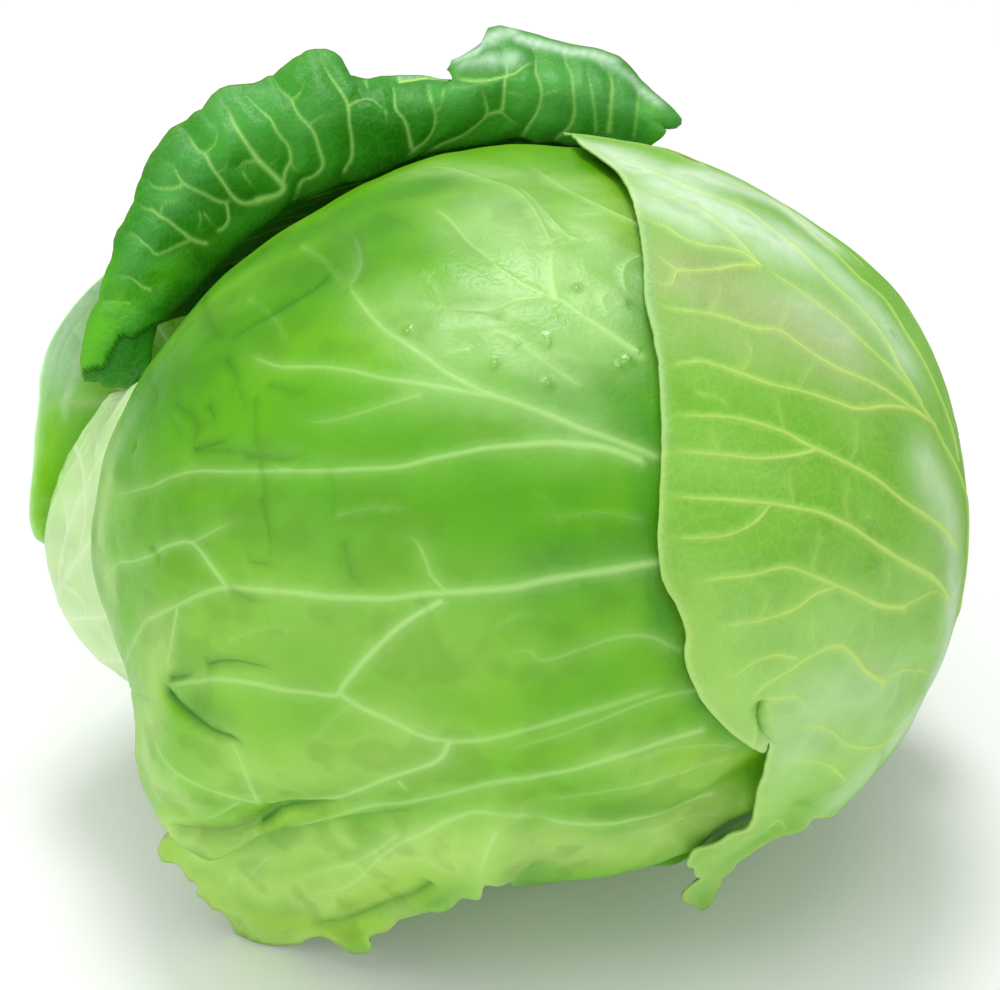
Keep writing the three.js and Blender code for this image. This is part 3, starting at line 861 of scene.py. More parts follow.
front_free = "(123,392)(123,400)(123,415)(121,425)(117,435)(109,447)(105,455)(101,467)(99,480)(98,492)(101,507)(95,517)(91,530)(90,545)(91,560)(95,575)(98,590)(103,603)(110,615)(121,635)(121,660)(120,675)(128,685)(138,700)(136,715)(137,730)(139,742)(137,755)(137,775)(139,790)(144,800)(150,808)(163,822)(172,830)"
flap_free = pts("(165,835,24)(161,842,24)(158,850,23)(160,857,21)(162,861,20)(178,864,19)(183,868,18)(186,875,16)(190,880,15)(196,882,14)(199,887,13)(197,894,12)(203,897,11)(208,903,9)(213,909,8)(220,910,7)(225,914,6.5)(230,920,5)(235,930,3.5)(240,936,2)(248,940,1.4)(260,943,.8)(280,944,.5)(300,943,.5)(308,939,.8)(322,936,1)(330,939,.6)(345,948,.5)(352,952,.5)(360,953,.5)(368,952,.5)(372,948,.6)(372,943,.9)(369,939,1.5)(373,935,2.2)(387,931,3)(393,927,4)(398,921,5)(405,918,6)(430,911,8)(440,911,8)(448,909,9)(454,905,10)(460,899,12)(465,897,13)(481,898,13)(484,888,16)(487,885,17)(503,884,19)(510,881,22)")
flap_dirs = unit(hit(flap_free[:, 0], flap_free[:, 1], front_radius) - CENTRE)
front_loop = np.vstack([
    direction(np.full(9, STEM_A), np.linspace(72, -60, 9)),
    ab((45, -82), (75, -92), (103, -97), (125, -105), (143, -121), (155, -141), (161, -150)),
    limb_dirs(front_free, front_radius, 5),
    flap_dirs,
    ab((88, 76), (80, 80), (65, 78), (45, 76)),
])

front_lines = lines_on(front_radius, [
    ("(655,457)(620,442)(580,428)(540,412)(500,399)(460,391)(420,383)(380,377)(350,370)(320,366)(285,366)(270,363)(247,355)", 1.15, .6, .35, .85),
    ("(500,399)(480,391)(445,372)(430,361)(400,340)(385,329)(365,308)(350,283)(355,275)(360,260)(355,238)(348,228)", .95, .45, .32, .75),
    ("(640,355)(610,333)(580,314)(565,302)(555,298)(535,290)(520,282)(505,272)(490,262)(480,252)(470,243)(460,231)(450,220)(430,205)", 1.25, .6, .45, .9),
    ("(555,298)(553,285)(551,265)(552,245)(549,241)", 1.1, .9, .5, 1.3),
    ("(549,240)(545,230)(538,218)(530,205)(520,194)(510,187)(490,180)(465,171)(430,164)", .8, .6, .8, .55),
    ("(552,241)(567,234)(560,228)(552,220)(540,207)(530,196)(520,188)(505,184)", .7, .5, .8, .5),
    ("(567,234)(580,238)(590,240)", .6, .4, .5, .5),
    ("(638,222)(610,209)(580,194)(550,176)(525,162)", .7, .45, .4, .5),
    ("(600,212)(570,214)(555,212)", .6, .4, .25, .4),
    ("(540,298)(515,301)(495,309)(478,311)(450,307)(438,304)", .9, .4, .4, .6),
    ("(575,382)(545,362)(515,340)(500,332)(492,333)(485,341)(475,342)", .8, .5, .3, .5),
    ("(465,349)(430,359)", .6, .4, .25, .5),
    ("(640,256)(632,258)(623,270)(626,290)(638,303)", .7, .5, .4, .75),
    ("(605,310)(602,300)(607,293)(625,290)", .5, .4, .25, .5),
    ("(640,460)(620,452)(600,447)(560,443)(520,444)(480,449)(440,457)(400,466)(360,469)(320,471)(290,471)(265,462)", 1.25, .6, .35, .95),
    ("(290,471)(235,471)(200,471)(170,478)(145,488)(110,497)", .7, .5, .25, .65),
    ("(420,395)(390,403)(360,413)(330,420)(315,421)(300,418)", .6, .45, .2, .4),
    ("(658,563)(620,569)(580,575)(540,582)(500,589)(460,592)(430,594)(380,599)(340,598)(300,594)(260,590)(225,588)(200,595)(178,605)(155,616)(145,621)(140,630)(128,655)(121,672)", 1.3, .75, .4, .95),
    ("(178,605)(173,635)(168,665)(168,678)", .8, .6, .4, .8),
    ("(225,588)(211,570)(198,550)(191,543)(168,545)(150,555)(130,562)(118,562)(105,578)(102,587)", .8, .5, .3, .75),
    ("(191,543)(215,529)(240,520)", .6, .35, .2, .5),
    ("(118,562)(116,550)", .5, .3, .2, .5),
    ("(445,592)(430,575)(427,565)(415,540)(400,535)", .8, .4, .25, .6),
    ("(440,602)(410,620)(380,645)(360,665)(342,688)(340,694)(310,693)(280,690)(250,683)(220,679)(190,682)(165,686)", 1.0, .85, .4, .95),
    ("(342,694)(362,707)(390,720)(420,735)(450,741)(485,739)(520,731)(560,720)(600,708)(640,695)(672,685)", .9, 1.1, .38, .8),
    ("(352,703)(330,722)(305,750)", .6, .4, .15, .35),
    ("(450,741)(440,758)(405,772)(375,782)(345,795)(330,799)(290,802)(258,803)", 1.0, .85, .45, .95),
    ("(258,803)(230,797)(200,787)(178,775)(158,752)(147,725)", .8, .6, .35, .75),
    ("(258,803)(254,795)(243,768)(232,745)(225,730)", .8, .55, .35, .8),
    ("(175,776)(145,780)", .5, .35, .2, .5),
    ("(238,803)(218,815)(195,821)", .7, .4, .3, .7),
    ("(680,650)(650,637)(620,637)(585,648)(540,660)(530,650)(505,655)", .8, .4, .18, .4),
    ("(700,730)(660,742)(620,755)(580,768)(540,776)(500,782)(460,791)(420,800)(380,804)(340,815)(300,826)(260,834)(222,850)", 1.0, .6, .35, .8),
    ("(400,782)(412,797)", .7, .5, .3, .7),
    ("(712,793)(680,806)(640,820)(600,826)(560,822)(520,816)(480,812)(450,820)(420,834)(390,850)(368,870)(350,885)(300,900)", 1.1, .7, .4, .85),
    ("(395,838)(365,858)(335,869)(290,880)", .7, .4, .25, .6),
    ("(495,835)(484,860)(478,882)", .9, .6, .3, .75),
    ("(265,859)(245,880)", .5, .4, .5, .6),
    ("(232,880)(228,890)", .5, .4, .35, .6),
    ("(700,690)(650,700)(600,720)(560,735)(500,750)", .7, .4, .25, .45),
    ("(725,760)(690,770)(640,785)(590,795)(540,800)", .7, .4, .25, .45),
    ("(735,748)(700,745)(660,752)(620,765)", .5, .3, .2, .4), ("(715,815)(690,818)(660,830)(620,838)(580,836)", .5, .3, .2, .4),
    ("(640,520)(600,512)(560,516)(530,512)", .4, .25, .12, .3), ("(560,520)(548,500)(520,490)", .3, .2, .1, .25),
    ("(340,515)(380,508)(420,512)", .4, .25, .12, .3), ("(230,640)(270,628)(310,632)", .4, .25, .12, .3),
    ("(500,625)(530,612)(560,618)", .3, .2, .1, .25), ("(300,245)(325,262)(345,290)", .4, .25, .15, .3),
    ("(250,300)(275,320)(290,350)", .4, .25, .15, .3), ("(425,275)(440,300)(450,325)", .3, .2, .1, .3),
], w=0.70, h=0.75, c=0.74)
# creases: grooves darkened by the fold colour; in the deep ones this is painted shade, in the shallow broad ones it is
# the leaf's own darker streaks
front_creases = lines_on(front_radius, [
    ("(166,692)(180,706)(195,718)(208,728)(222,735)(236,741)(250,748)", .9, .5, -1.5, 1.3),
    ("(170,678)(182,676)(192,672)(198,665)", .7, .5, -.8, .9),
    ("(208,664)(220,661)(235,661)(250,664)(265,667)(280,673)", .45, .35, -.7, .9),
    ("(325,278)(310,290)(295,300)(272,314)(250,328)(220,348)", .8, .6, -.5, .85),
    ("(197,450)(220,443)(240,436)", .6, .5, -.35, .9),
    ("(196,452)(230,451)(250,452)(275,454)", .7, .5, -.3, .6),
    ("(256,400)(256,440)(262,480)(268,520)(270,545)(270,570)", .8, .6, -.25, .45),
    ("(250,563)(270,566)(285,570)", .45, .3, -.3, .45),
    ("(210,408)(215,415)(218,435)", .5, .4, -.35, .85),
    ("(137,447)(130,462)", .45, .35, -.3, .6),
    ("(175,831)(200,833)(218,832)(235,829)(250,824)(262,818)(272,812)(282,806)(296,805)(310,805)(325,804)(338,801)", 1.5, .7, -2.4, .55),
    ("(262,822)(272,816)(285,809)(310,806)(325,803)(345,800)", .6, .4, -1.0, 1.2),
    ("(430,885)(400,900)(370,911)(330,922)(280,935)", 1.1, .5, -1.1, .8),
    ("(490,263)(470,246)(455,230)(440,216)", .45, .35, -.3, .35),
    ("(500,318)(478,313)(455,310)", .4, .3, -.3, .35),
    ("(175,420)(185,440)(190,455)", .4, .3, -.25, .35),
    ("(240,390)(245,410)(243,430)", .4, .3, -.25, .35),
    ("(340,560)(345,580)(355,590)", .4, .3, -.25, .3),
    ("(130,690)(150,700)(165,712)", .4, .3, -.25, .3),
    ("(352,232)(362,262)(350,285)(330,300)", 1.3, .9, -.3, 0.52), ("(205,300)(212,325)(235,350)", 1.4, .8, -.3, 0.62), ("(228,360)(238,385)(225,402)", 1.1, .8, -.3, 0.67),
    ("(178,405)(200,428)(196,448)(215,462)", 1.0, .7, -.3, 0.62), ("(262,500)(268,530)(266,560)", .9, .7, -.3, 0.52), ("(245,455)(285,458)(310,452)", .9, .6, -.3, 0.57),
    ("(345,545)(352,575)(372,590)", 1.2, .8, -.3, 0.48), ("(270,385)(300,392)(318,382)", 1.0, .7, -.3, 0.48), ("(150,375)(160,400)(150,425)", 1.0, .7, -.3, 0.57),
    ("(245,230)(262,250)(290,262)", 1.0, .7, -.3, 0.48), ("(230,590)(250,600)(280,604)", .8, .6, -.3, 0.38), ("(375,215)(400,222)(420,238)", .8, .5, -.15, 0.23),
    ("(150,548)(158,560)(150,575)", .8, .5, -.3, 0.48), ("(420,600)(430,615)(425,640)", .6, .4, -.1, 0.19), ("(330,470)(335,500)(330,530)", .8, .5, -.12, 0.20),
])


def spots(radius, *rows):
    """rows of (pixels, reach in pixels, strength)."""
    return [(on_leaf(t, radius), s * 0.218, k) for t, s, k in rows]


front_masks = {
    # deep: darker green on the upper left and across the middle, and painted shadow along the right leaf's margin,
    # under the collar's edge and in a crease low on the left
    "deep": spots(front_radius,
                  ("(150,400)(200,360)(250,320)(320,270)(360,240)", 50, .85), ("(150,520)(230,500)(280,470)", 40, .45),
                  ("(628,240)(634,320)(640,400)(644,480)(652,560)(664,620)", 17, 1.0), ("(690,650)(712,700)(745,745)", 18, .8),
                  ("(350,500)(430,480)(520,500)(630,490)", 44, .5), ("(150,340)(230,275)(300,235)(380,200)(440,182)", 24, .8),
                  ("(600,165)(625,190)", 26, .9), ("(195,705)(225,722)", 10, .9), ("(570,400)(605,405)(640,420)", 32, 1.0), ("(300,430)(420,440)", 36, .3),
                  ("(560,560)(610,555)(650,560)", 36, .9), ("(585,395)(620,405)", 22, .9), ("(455,205)(500,200)(530,215)", 13, .7)),
    "pale": spots(front_radius,
                  ("(160,640)(150,700)(145,760)(180,800)", 26, .7), ("(240,770)(330,770)(400,740)", 45, .55), ("(200,650)(320,650)(450,650)", 44, .32),
                  ("(220,880)(300,890)(380,870)(450,850)(520,850)(600,850)(700,815)", 30, .95), ("(420,860)(500,850)", 34, 1.0),
                  ("(260,650)(330,640)", 50, .3), ("(200,860)(240,915)(300,930)", 30, 1.0), ("(180,845)(260,860)(340,840)", 22, .8), ("(620,760)(700,790)", 26, .4), ("(112,590)(100,540)(108,480)", 12, .5),
                  # the first spot here, along the lip over the flap's crease, is painted light laid over the shade
                  # under the bulge; the rest of pale is the paler lower leaf and flap
                  ("(172,828)(195,838)(222,846)(250,838)", 17, 1.0), ("(250,885)(310,900)(370,890)", 34, 1.0)),
    # painted_highlight: pale whitish-green patches where the key light's broad reflection falls, a painted highlight
    # in the leaf's colour
    "painted_highlight": spots(front_radius,
                   ("(470,330)(510,290)(530,250)(500,215)", 40, .8), ("(590,330)(600,260)(590,220)", 32, .75), ("(430,375)(520,395)(580,420)", 24, .4),
                   ("(490,345)(560,350)", 30, .7), ("(420,170)(500,175)(580,185)", 18, .45), ("(420,330)(400,300)", 24, .45)),
    "warm": spots(front_radius, ("(260,920)(330,935)(380,925)", 14, .9), ("(350,905)(430,880)", 12, .8), ("(600,180)(620,210)(630,240)", 14, .6),
                  ("(170,835)(185,870)(215,905)", 10, .7), ("(690,760)(735,760)", 18, .7), ("(262,826)(300,812)(340,805)", 6, .8)),
}
front_drops = [(on_leaf("(%g,%g)" % (x, y), front_radius)[0], r) for x, y, r in (
    (406, 331, .8), (494, 365, .95), (547, 343, 1.0), (548, 384, .8), (518, 343, .55), (576, 289, .7), (625, 304, .6), (637, 351, .8), (629, 359, .6), (620, 366, .5))]


def front_relief(P, n, near):
    d = 0.55 * (1 - np.exp(-(near / 5.0) ** 2)) - 0.25
    d = d + 0.5 * noise(P, 26) + 0.24 * noise(P, 8.5) + 0.09 * noise(P, 3.6)
    flow = np.stack([P @ RIGHT / 46.0, P @ BACK / 9.0, P @ UP / 9.0], axis=1)
    return d + 0.22 * noise(flow, 1.0)


front_mat = leaf_material("front_leaf_skin", (106, 176, 12), (92, 166, 8),
                          patches=(("deep", (56, 136, 0), 0.88), ("pale", (172, 210, 104), 0.9), ("painted_highlight", (176, 214, 140), 0.75), ("warm", (154, 198, 44), .7)),
                          vein=(186, 228, 140), vein_k=0.8, net=(140, 200, 60), net_scale=150, net_k=0.0, edge=(190, 222, 130), edge_k=0.45,
                          fold=(44, 116, 0), fold_k=0.85, under=(140, 196, 80), rough=0.36, spec=0.28, bump=0.24, halo=.16, freckles=.34)
front = star_leaf("front_leaf_skin", "front_leaf", (113.6, 0), front_loop, front_radius, front_lines, front_mat,
                  fine=1.18, coarse=3.1, thick=0.9, relief=front_relief, masks=front_masks, wild=0.2, creases=front_creases, drops=front_drops)


# ---------------------------------------------------------------------------
# Right wrapper leaf
# ---------------------------------------------------------------------------
tongue = pts("(768,740,2.4)(764,765,2.2)(757,790,1.2)(752,803,.8)(828,814,4.8)(840,803,4.8)(855,788,4.6)(800,745,2.4)(850,740,2.4)(900,730,2.6)(780,770,2.6)(820,770,2.8)(860,765,3.4)(780,800,2.4)(810,800,2.8)(835,790,3.6)")
tn = np.zeros((len(tongue), 3))
for i, (x, y, d) in enumerate(tongue):
    tn[i] = unit(hit(np.array([x]), np.array([y]), lambda q, d=d: head(q) + d, 200) - CENTRE)[0]
right_field = Field(tn, tongue[:, 2] - 2.4, 2.6)
# the tongue hangs from the head in a gently bent sheet down to its hook
hang = [unit(hit(np.array([x]), np.array([y]), head)[0] - CENTRE) for x, y in ((800.0, 785.0), (752.0, 800.0))]
hang = [CENTRE + q * (head(q[None])[0] + 2.8) for q in hang] + [at_height(702.0, 908.0, 9.0)]
hang_n = unit(np.cross(hang[1] - hang[0], hang[2] - hang[0]))


def right_radius(n):
    plain = head(n) + 2.4 + right_field(n)
    lean = n @ hang_n
    flat = ((hang[0] - CENTRE) @ hang_n) / np.where(np.abs(lean) < 0.15, 0.15, lean)
    P = CENTRE + n * flat[:, None]
    x, y = project(P)
    w = smooth01((50 - P[:, 2]) / 12) * smooth01((850 - x) / 60) * ((lean > 0.2) if (hang[0] - CENTRE) @ hang_n > 0 else (lean < -0.2)) * smooth01((x - 560) / 60)
    bend = 0.8 * np.sin(y / 13.0 + x / 29.0) * w
    return plain * (1 - w) + (flat + bend) * w


tongue_left = "(768,740)(764,765)(758,785)(754,803)(750,820)(745,827)(730,832)(722,838)(712,843)(695,848)(688,858)(686,863)(692,865)(693,872)(699,878)(692,883)(686,888)(682,893)(683,898)(692,903)(702,908)(709,903)(713,893)(719,884)(722,875)(728,871)(738,859)(748,851)(758,843)(770,836)(780,833)(795,830)(803,826)(808,821)(812,815)(820,816)(828,814)"
tl = dirs(tongue_left, right_radius)
right_free = "(563,129)(568,133)(573,138)(580,145)(596,156)(612,168)(622,180)(630,195)(636,215)(638,222)(640,235)(643,260)(644,300)(649,320)(654,345)(657,360)(660,400)(661,440)(660,480)(657,540)(661,575)(666,588)(671,597)(675,603)(680,615)(686,635)(684,650)(685,662)(692,682)(703,702)(718,720)(735,735)(752,747)(762,751)(765,748)(766,743)"
right_top = "(700,168)(690,163)(680,160)(670,153)(660,150)(640,145)(620,142)(600,141)(583,137)(572,132)"
right_loop = np.vstack([
    direction(np.full(15, STEM_A), np.linspace(-200, 58, 15)),
    ab((28, 58), (42, 52), (50, 46)),
    tl[::-1],
    dirs(right_free, right_radius)[::-1],
    limb_dirs(right_top, right_radius, 5)[::-1],
    ab((82, -90), (77, -98), (76, -115), (78, -140), (82, -170), (80, -200), (45, -202)),
])
right_rows = [
    ("(965,600)(970,560)(968,520)(961,480)(948,452)(935,428)(920,405)(903,382)(882,360)(858,337)(835,316)(812,298)(790,284)(768,270)(760,265)", 1.0, .5, .75, 1.0),
    ("(760,265)(745,253)(725,248)(700,245)(680,236)(670,228)(660,224)(640,220)", .55, .35, .5, .95),
    ("(755,266)(742,265)(715,270)(678,270)(668,263)(652,250)", .5, .32, .45, .9),
    ("(678,270)(670,286)(650,281)", .36, .28, .3, .7),
    ("(758,262)(740,240)(720,222)(695,206)(665,194)(650,193)", .5, .3, .4, .75),
    ("(920,402)(902,372)(888,343)(870,318)(845,295)(820,270)(797,247)(772,228)(748,210)(720,198)(690,187)(662,173)(630,162)(605,151)", .7, .32, .55, .95),
    ("(958,460)(945,410)(925,365)(905,330)(885,300)(860,278)(840,258)(818,238)(795,216)(780,202)(755,190)(725,182)(710,181)", .75, .4, .6, .9),
    ("(862,265)(840,243)(810,222)(795,213)", .45, .3, .35, .7),
    ("(925,418)(900,401)(878,387)(850,375)(822,360)(795,342)(780,332)(755,329)(735,322)(710,315)(680,311)(652,305)", .62, .36, .5, .95),
    ("(935,425)(910,410)(885,407)(855,409)(835,402)(800,392)(772,386)(740,374)(710,364)(695,362)(660,368)", .62, .36, .5, .95),
    ("(955,545)(938,525)(905,503)(878,481)(850,466)(815,449)(785,432)(755,423)(720,417)(665,416)", .72, .36, .55, 1.0),
    ("(817,450)(795,455)(765,459)(715,455)(662,451)", .42, .3, .35, .8),
    ("(948,598)(930,577)(890,553)(850,527)(822,513)(795,507)(765,503)(720,499)(662,498)", .75, .36, .55, 1.0),
    ("(770,506)(755,523)(728,535)(700,538)(662,538)", .4, .3, .3, .7),
    ("(905,607)(880,606)(850,592)(810,575)(786,567)(755,575)(720,579)(690,585)", .6, .34, .45, .9),
    ("(835,588)(815,595)(795,609)(760,620)(717,628)(712,634)", .42, .3, .3, .8),
    ("(905,605)(935,592)(950,612)", .4, .3, .3, .7),
    ("(884,682)(865,670)(852,655)(838,646)(815,653)(785,673)(765,685)(745,710)", .7, .36, .5, .95),
    ("(795,658)(775,655)(752,664)(735,676)(720,675)", .42, .3, .3, .75),
    ("(884,682)(900,671)(922,671)(930,678)", .4, .3, .3, .75),
    ("(910,722)(885,742)(870,748)(845,743)(830,730)(808,725)(785,733)", .6, .34, .45, .9),
    ("(770,698)(800,698)(808,718)", .42, .3, .35, .8),
    ("(845,780)(828,765)(800,759)(775,762)", .45, .32, .35, .8),
    ("(770,825)(778,820)(786,830)", .35, .3, .25, .7),
    ("(752,745)(762,700)(766,690)", .35, .3, .3, .6),
    ("(700,395)(720,400)(735,418)", .28, .22, .14, .35), ("(740,374)(750,352)(735,322)", .28, .22, .14, .35),
    ("(800,392)(808,372)(822,360)", .28, .22, .14, .35), ("(785,432)(778,405)(772,386)", .28, .22, .14, .35),
    ("(850,466)(858,440)(855,409)", .28, .22, .14, .35), ("(720,455)(712,430)(720,417)", .28, .22, .14, .35),
    ("(850,527)(846,500)(850,466)", .28, .22, .14, .35), ("(795,507)(790,480)(795,455)", .28, .22, .14, .35),
    ("(810,575)(818,545)(822,513)", .28, .22, .14, .35), ("(760,620)(768,596)(755,575)", .28, .22, .14, .35),
    ("(890,553)(888,580)(880,606)", .28, .22, .14, .35), ("(815,653)(812,630)(815,595)", .28, .22, .14, .35),
    ("(710,315)(720,292)(715,270)", .28, .22, .14, .35), ("(780,332)(790,305)(790,284)", .28, .22, .14, .35),
    ("(862,655)(872,630)(870,603)", .28, .22, .14, .35), ("(748,210)(735,195)(725,182)", .28, .22, .14, .35),
]
right_lines = lines_on(right_radius, right_rows)
right_chart = Chart(0, 0)


def right_keep(P, n):
    x, y = project(P)
    return (facing(P, n) < 0.06) | (y > 955)


# the midrib runs on from the right limb, round to the stem
keel = np.vstack([direction([9, 14, 20, 27, 34], [24, 22, 15, 6, 0]), dirs("(969,560)(968,525)(964,485)", right_radius)])
right_lines.append(Vein(CENTRE + keel * right_radius(keel)[:, None], 3.4, 1.0, 1.1, .95))
for k, (b0, b1, a1) in enumerate(((-170, -178, 74), (-140, -148, 70), (-112, -118, 68), (-84, -86, 66), (-58, -60, 52), (-34, -30, 40), (48, 52, 40), (60, 62, 52))):
    t = np.linspace(0, 1, 10)
    n = direction(9 + (a1 - 9) * t, b0 + (b1 - b0) * t + 5 * np.sin(t * 5 + k))
    right_lines.append(Vein(CENTRE + n * right_radius(n)[:, None], 1.5, .4, .6, .85))
    for f in (3, 5, 7):
        m = unit(n[f] + np.linspace(0, 1, 8)[:, None] * 0.22 * unit(np.cross(n[f], STEM) * (1 if f % 2 else -1) + 1.1 * (n[f + 1] - n[f]) / np.linalg.norm(n[f + 1] - n[f])))
        right_lines.append(Vein(CENTRE + m * right_radius(m)[:, None], .5, .25, .3, .6, False))
# creases at the tongue's notch, darkened by the fold colour as painted shade
right_creases = lines_on(right_radius, [
    ("(761,705)(759,715)(760,724)(762,730)(767,738)(772,743)", .55, .3, -1.3, 1.2),
    ("(768,738)(774,742)(780,746)", .35, .25, -.5, .7),
    ("(800,800)(812,806)(820,812)", .6, .4, -.5, .3),
])
right_masks = {
    "low": spots(right_radius, ("(720,690)(790,700)(860,690)(930,650)", 44, .9), ("(800,770)(860,750)(900,720)", 40, 1.0), ("(740,640)(830,620)(920,590)", 40, .7), ("(770,800)(745,830)(715,860)(700,885)", 26, 1.0),
                 ("(930,470)(952,520)(955,570)", 24, .8), ("(860,560)(920,560)", 24, .4)),
    # pale: whitish-pale patches, partly the leaf's waxy bloom and partly a painted highlight over its top and along
    # its right limb
    "pale": spots(right_radius, ("(596,150)(640,168)(690,195)(740,222)(790,246)", 32, 1.0), ("(690,176)(740,186)(780,205)(820,236)", 22, 1.0), ("(640,200)(700,225)", 18, .8), ("(820,260)(860,300)(900,350)", 26, .7),
                  ("(953,600)(940,660)(930,700)(900,735)", 24, .8), ("(870,770)(840,800)", 20, .5), ("(925,470)(948,520)(952,580)", 22, .6), ("(790,745)(830,700)(880,700)", 34, .35), ("(800,300)(840,330)", 26, .4)),
    "tan": spots(right_radius, ("(680,275)(740,298)(790,325)(840,350)", 38, .95), ("(690,335)(760,350)", 28, .6), ("(790,365)(850,385)", 24, .5)),
    "warm": spots(right_radius, ("(760,780)(745,820)(720,850)(705,880)", 12, .5), ("(690,600)(700,660)(740,720)", 20, .4), ("(968,500)(969,560)(960,600)", 9, 1.0)),
    "deep": spots(right_radius, ("(690,400)(740,415)(800,425)", 34, .8), ("(700,350)(720,370)", 18, .5), ("(850,560)(880,540)", 26, .4), ("(690,500)(760,545)", 34, .55), ("(870,565)", 8, .8), ("(800,490)(860,500)", 30, .4)),
    "light": spots(right_radius, ("(720,470)(760,480)", 26, .4), ("(830,620)(860,630)", 24, .5), ("(700,560)(740,600)", 30, .35)),
    # rolled: a thin bluish-green strip along the turned margin, partly its inner side's own colour and partly a
    # painted highlight along the edge
    "rolled": spots(right_radius, ("(643,225)(646,260)(648,300)(652,330)(657,360)(660,400)(661,440)", 3.2, 1.0)),
}
right_drops = [(on_leaf("(%g,%g)" % (x, y), right_radius)[0], r) for x, y, r in ((890, 329, 1.1), (868, 520, 1.2), (884, 322, .7), (873, 566, .8))]


def right_relief(P, n, near):
    d = 0.42 * (1 - np.exp(-(near / 3.4) ** 2)) - 0.2
    return d + 0.35 * noise(P, 30) + 0.22 * noise(P, 10) + 0.06 * noise(P, 3.4)


right_mat = leaf_material("right_leaf_skin", (130, 188, 72), (118, 180, 56),
                          patches=(("low", (162, 210, 112), .85), ("tan", (164, 184, 120), .9), ("deep", (106, 174, 40), .8), ("light", (160, 210, 110), .7), ("pale", (208, 232, 198), 0.9), ("warm", (166, 210, 92), .75), ("rolled", (112, 182, 128), .8)),
                          vein=(196, 226, 116), vein_k=0.95, net=(168, 212, 110), net_scale=300, net_k=0.13, edge=(196, 224, 140), edge_k=0.5,
                          fold=(80, 140, 10), under=(84, 150, 40), rough=0.68, spec=0.12, bump=0.4, freckles=0.2)
right_leaf = star_leaf("right_leaf_skin", "right_wrapper_leaf", (0, 0), right_loop, right_radius, right_lines, right_mat,
                       fine=1.15, coarse=2.0, thick=0.9, relief=right_relief, masks=right_masks, wild=0.22, edge_lift=0.5, creases=right_creases, drops=right_drops)


# ---------------------------------------------------------------------------
# Pale leaf round the end of the head, leaf underneath, leaf on top, leaf on the left
# ---------------------------------------------------------------------------
APEX_BUMPS = [(139, 157, 11.5, 16.5), (141, 182, 11, 10), (138, 140, 8, 5)]
UNDER_BUMPS = [(70.6, 115.1, 15, 4.4), (139, 157, 11, 13), (138, 140, 8, 5)]
LEFT_BUMPS = [(146, 159, 9, 7.5), (149, 180, 9, 2), (148, 200, 10, 6.5), (142, 218, 8, 3)]


def apex_radius(n):
    return head(n) - 4.4 + bump_sum(n, APEX_BUMPS)


def under_radius(n):
    return head(n) - 2.2 + bump_sum(n, UNDER_BUMPS)


def left_radius(n):
    return head(n) + 9.2 + bump_sum(n, LEFT_BUMPS)


def top_radius(n):
    return head(n) + 4.4 + bump_sum(n, [(79, -86, 7, -1.8)])


def closed_outline(*groups):
    """Groups of (a, b) corners joined, with the base arc first."""
    return np.vstack(groups)


def soft_relief(k=1.0, big=0.6):
    def f(P, n, near):
        return k * (0.5 * (1 - np.exp(-(near / 4.2) ** 2)) - 0.25) + big * noise(P, 24) + 0.2 * noise(P, 9) + 0.05 * noise(P, 3.3)
    return f


apex_loop = np.vstack([direction(np.full(9, STEM_A), np.linspace(188, 112, 9)), ab((50, 104), (90, 97), (120, 86), (146, 62), (150, 30), (151, 0), (155, -40), (161, -90), (164, -130), (157, -157), (147.3, -167), (133, -171), (120, -173), (90, -175), (50, -173))])
apex_chart = Chart(125, 150)
apex_lines = venation(apex_chart, apex_loop, (10, 150), (176, 120), apex_radius, everywhere, 4, count=10, angle=40, w0=3.4, w1=.8, h=.9, lat=(1.1, .5), lh=.4, c=.9)
apex_lines += lines_on(apex_radius, [("(58,470)(66,520)(62,560)(72,600)", .7, .4, .3, .8), ("(70,440)(82,470)(84,520)(78,560)(90,600)", .7, .4, .3, .8), ("(62,585)(80,600)(98,640)(112,660)", .6, .4, .3, .7), ("(80,410)(96,440)(92,480)", .6, .4, .3, .7)])
apex_mat = leaf_material("pale_leaf_skin", (186, 220, 150), (196, 226, 164), vein=(226, 240, 206), vein_k=.7, net=(180, 214, 140), net_scale=170, net_k=.2, edge=(214, 232, 180),
                         fold=(120, 170, 70), under=(196, 226, 160), rough=.45, spec=.25, bump=.2, freckles=.2)
star_leaf("pale_leaf_skin", "apex_pale_leaf", (125, 150), apex_loop, apex_radius, apex_lines, apex_mat, fine=1.5, coarse=2.0, thick=.9,
          relief=soft_relief(.8, .45), wild=.25)

under_loop = np.vstack([direction(np.full(9, STEM_A), np.linspace(170, 76, 9)), ab((40, 70), (70, 70), (95, 74), (116, 83), (126, 96), (130, 112), (129, 128), (124, 142), (118, 155), (100, 162), (70, 166), (40, 168))])
under_chart = Chart(75, 115)
under_lines = venation(under_chart, under_loop, (9.5, 118), (130, 116), under_radius, everywhere, 9, count=8, w0=4.2, w1=1.0, h=1.3, lat=(1.1, .45), lh=.55, c=.95)
under_mat = leaf_material("under_leaf_skin", (140, 196, 84), (124, 186, 66), vein=(206, 230, 160), vein_k=.9, net=(160, 208, 110), net_scale=280, net_k=.22, edge=(196, 222, 140),
                          under=(130, 190, 80), rough=.5, spec=.25, bump=.3)
star_leaf("under_leaf_skin", "under_leaf", (75, 115), under_loop, under_radius, under_lines, under_mat, fine=1.4, coarse=1.7, thick=.85,
          relief=soft_relief(), wild=.25, floor=0.0)

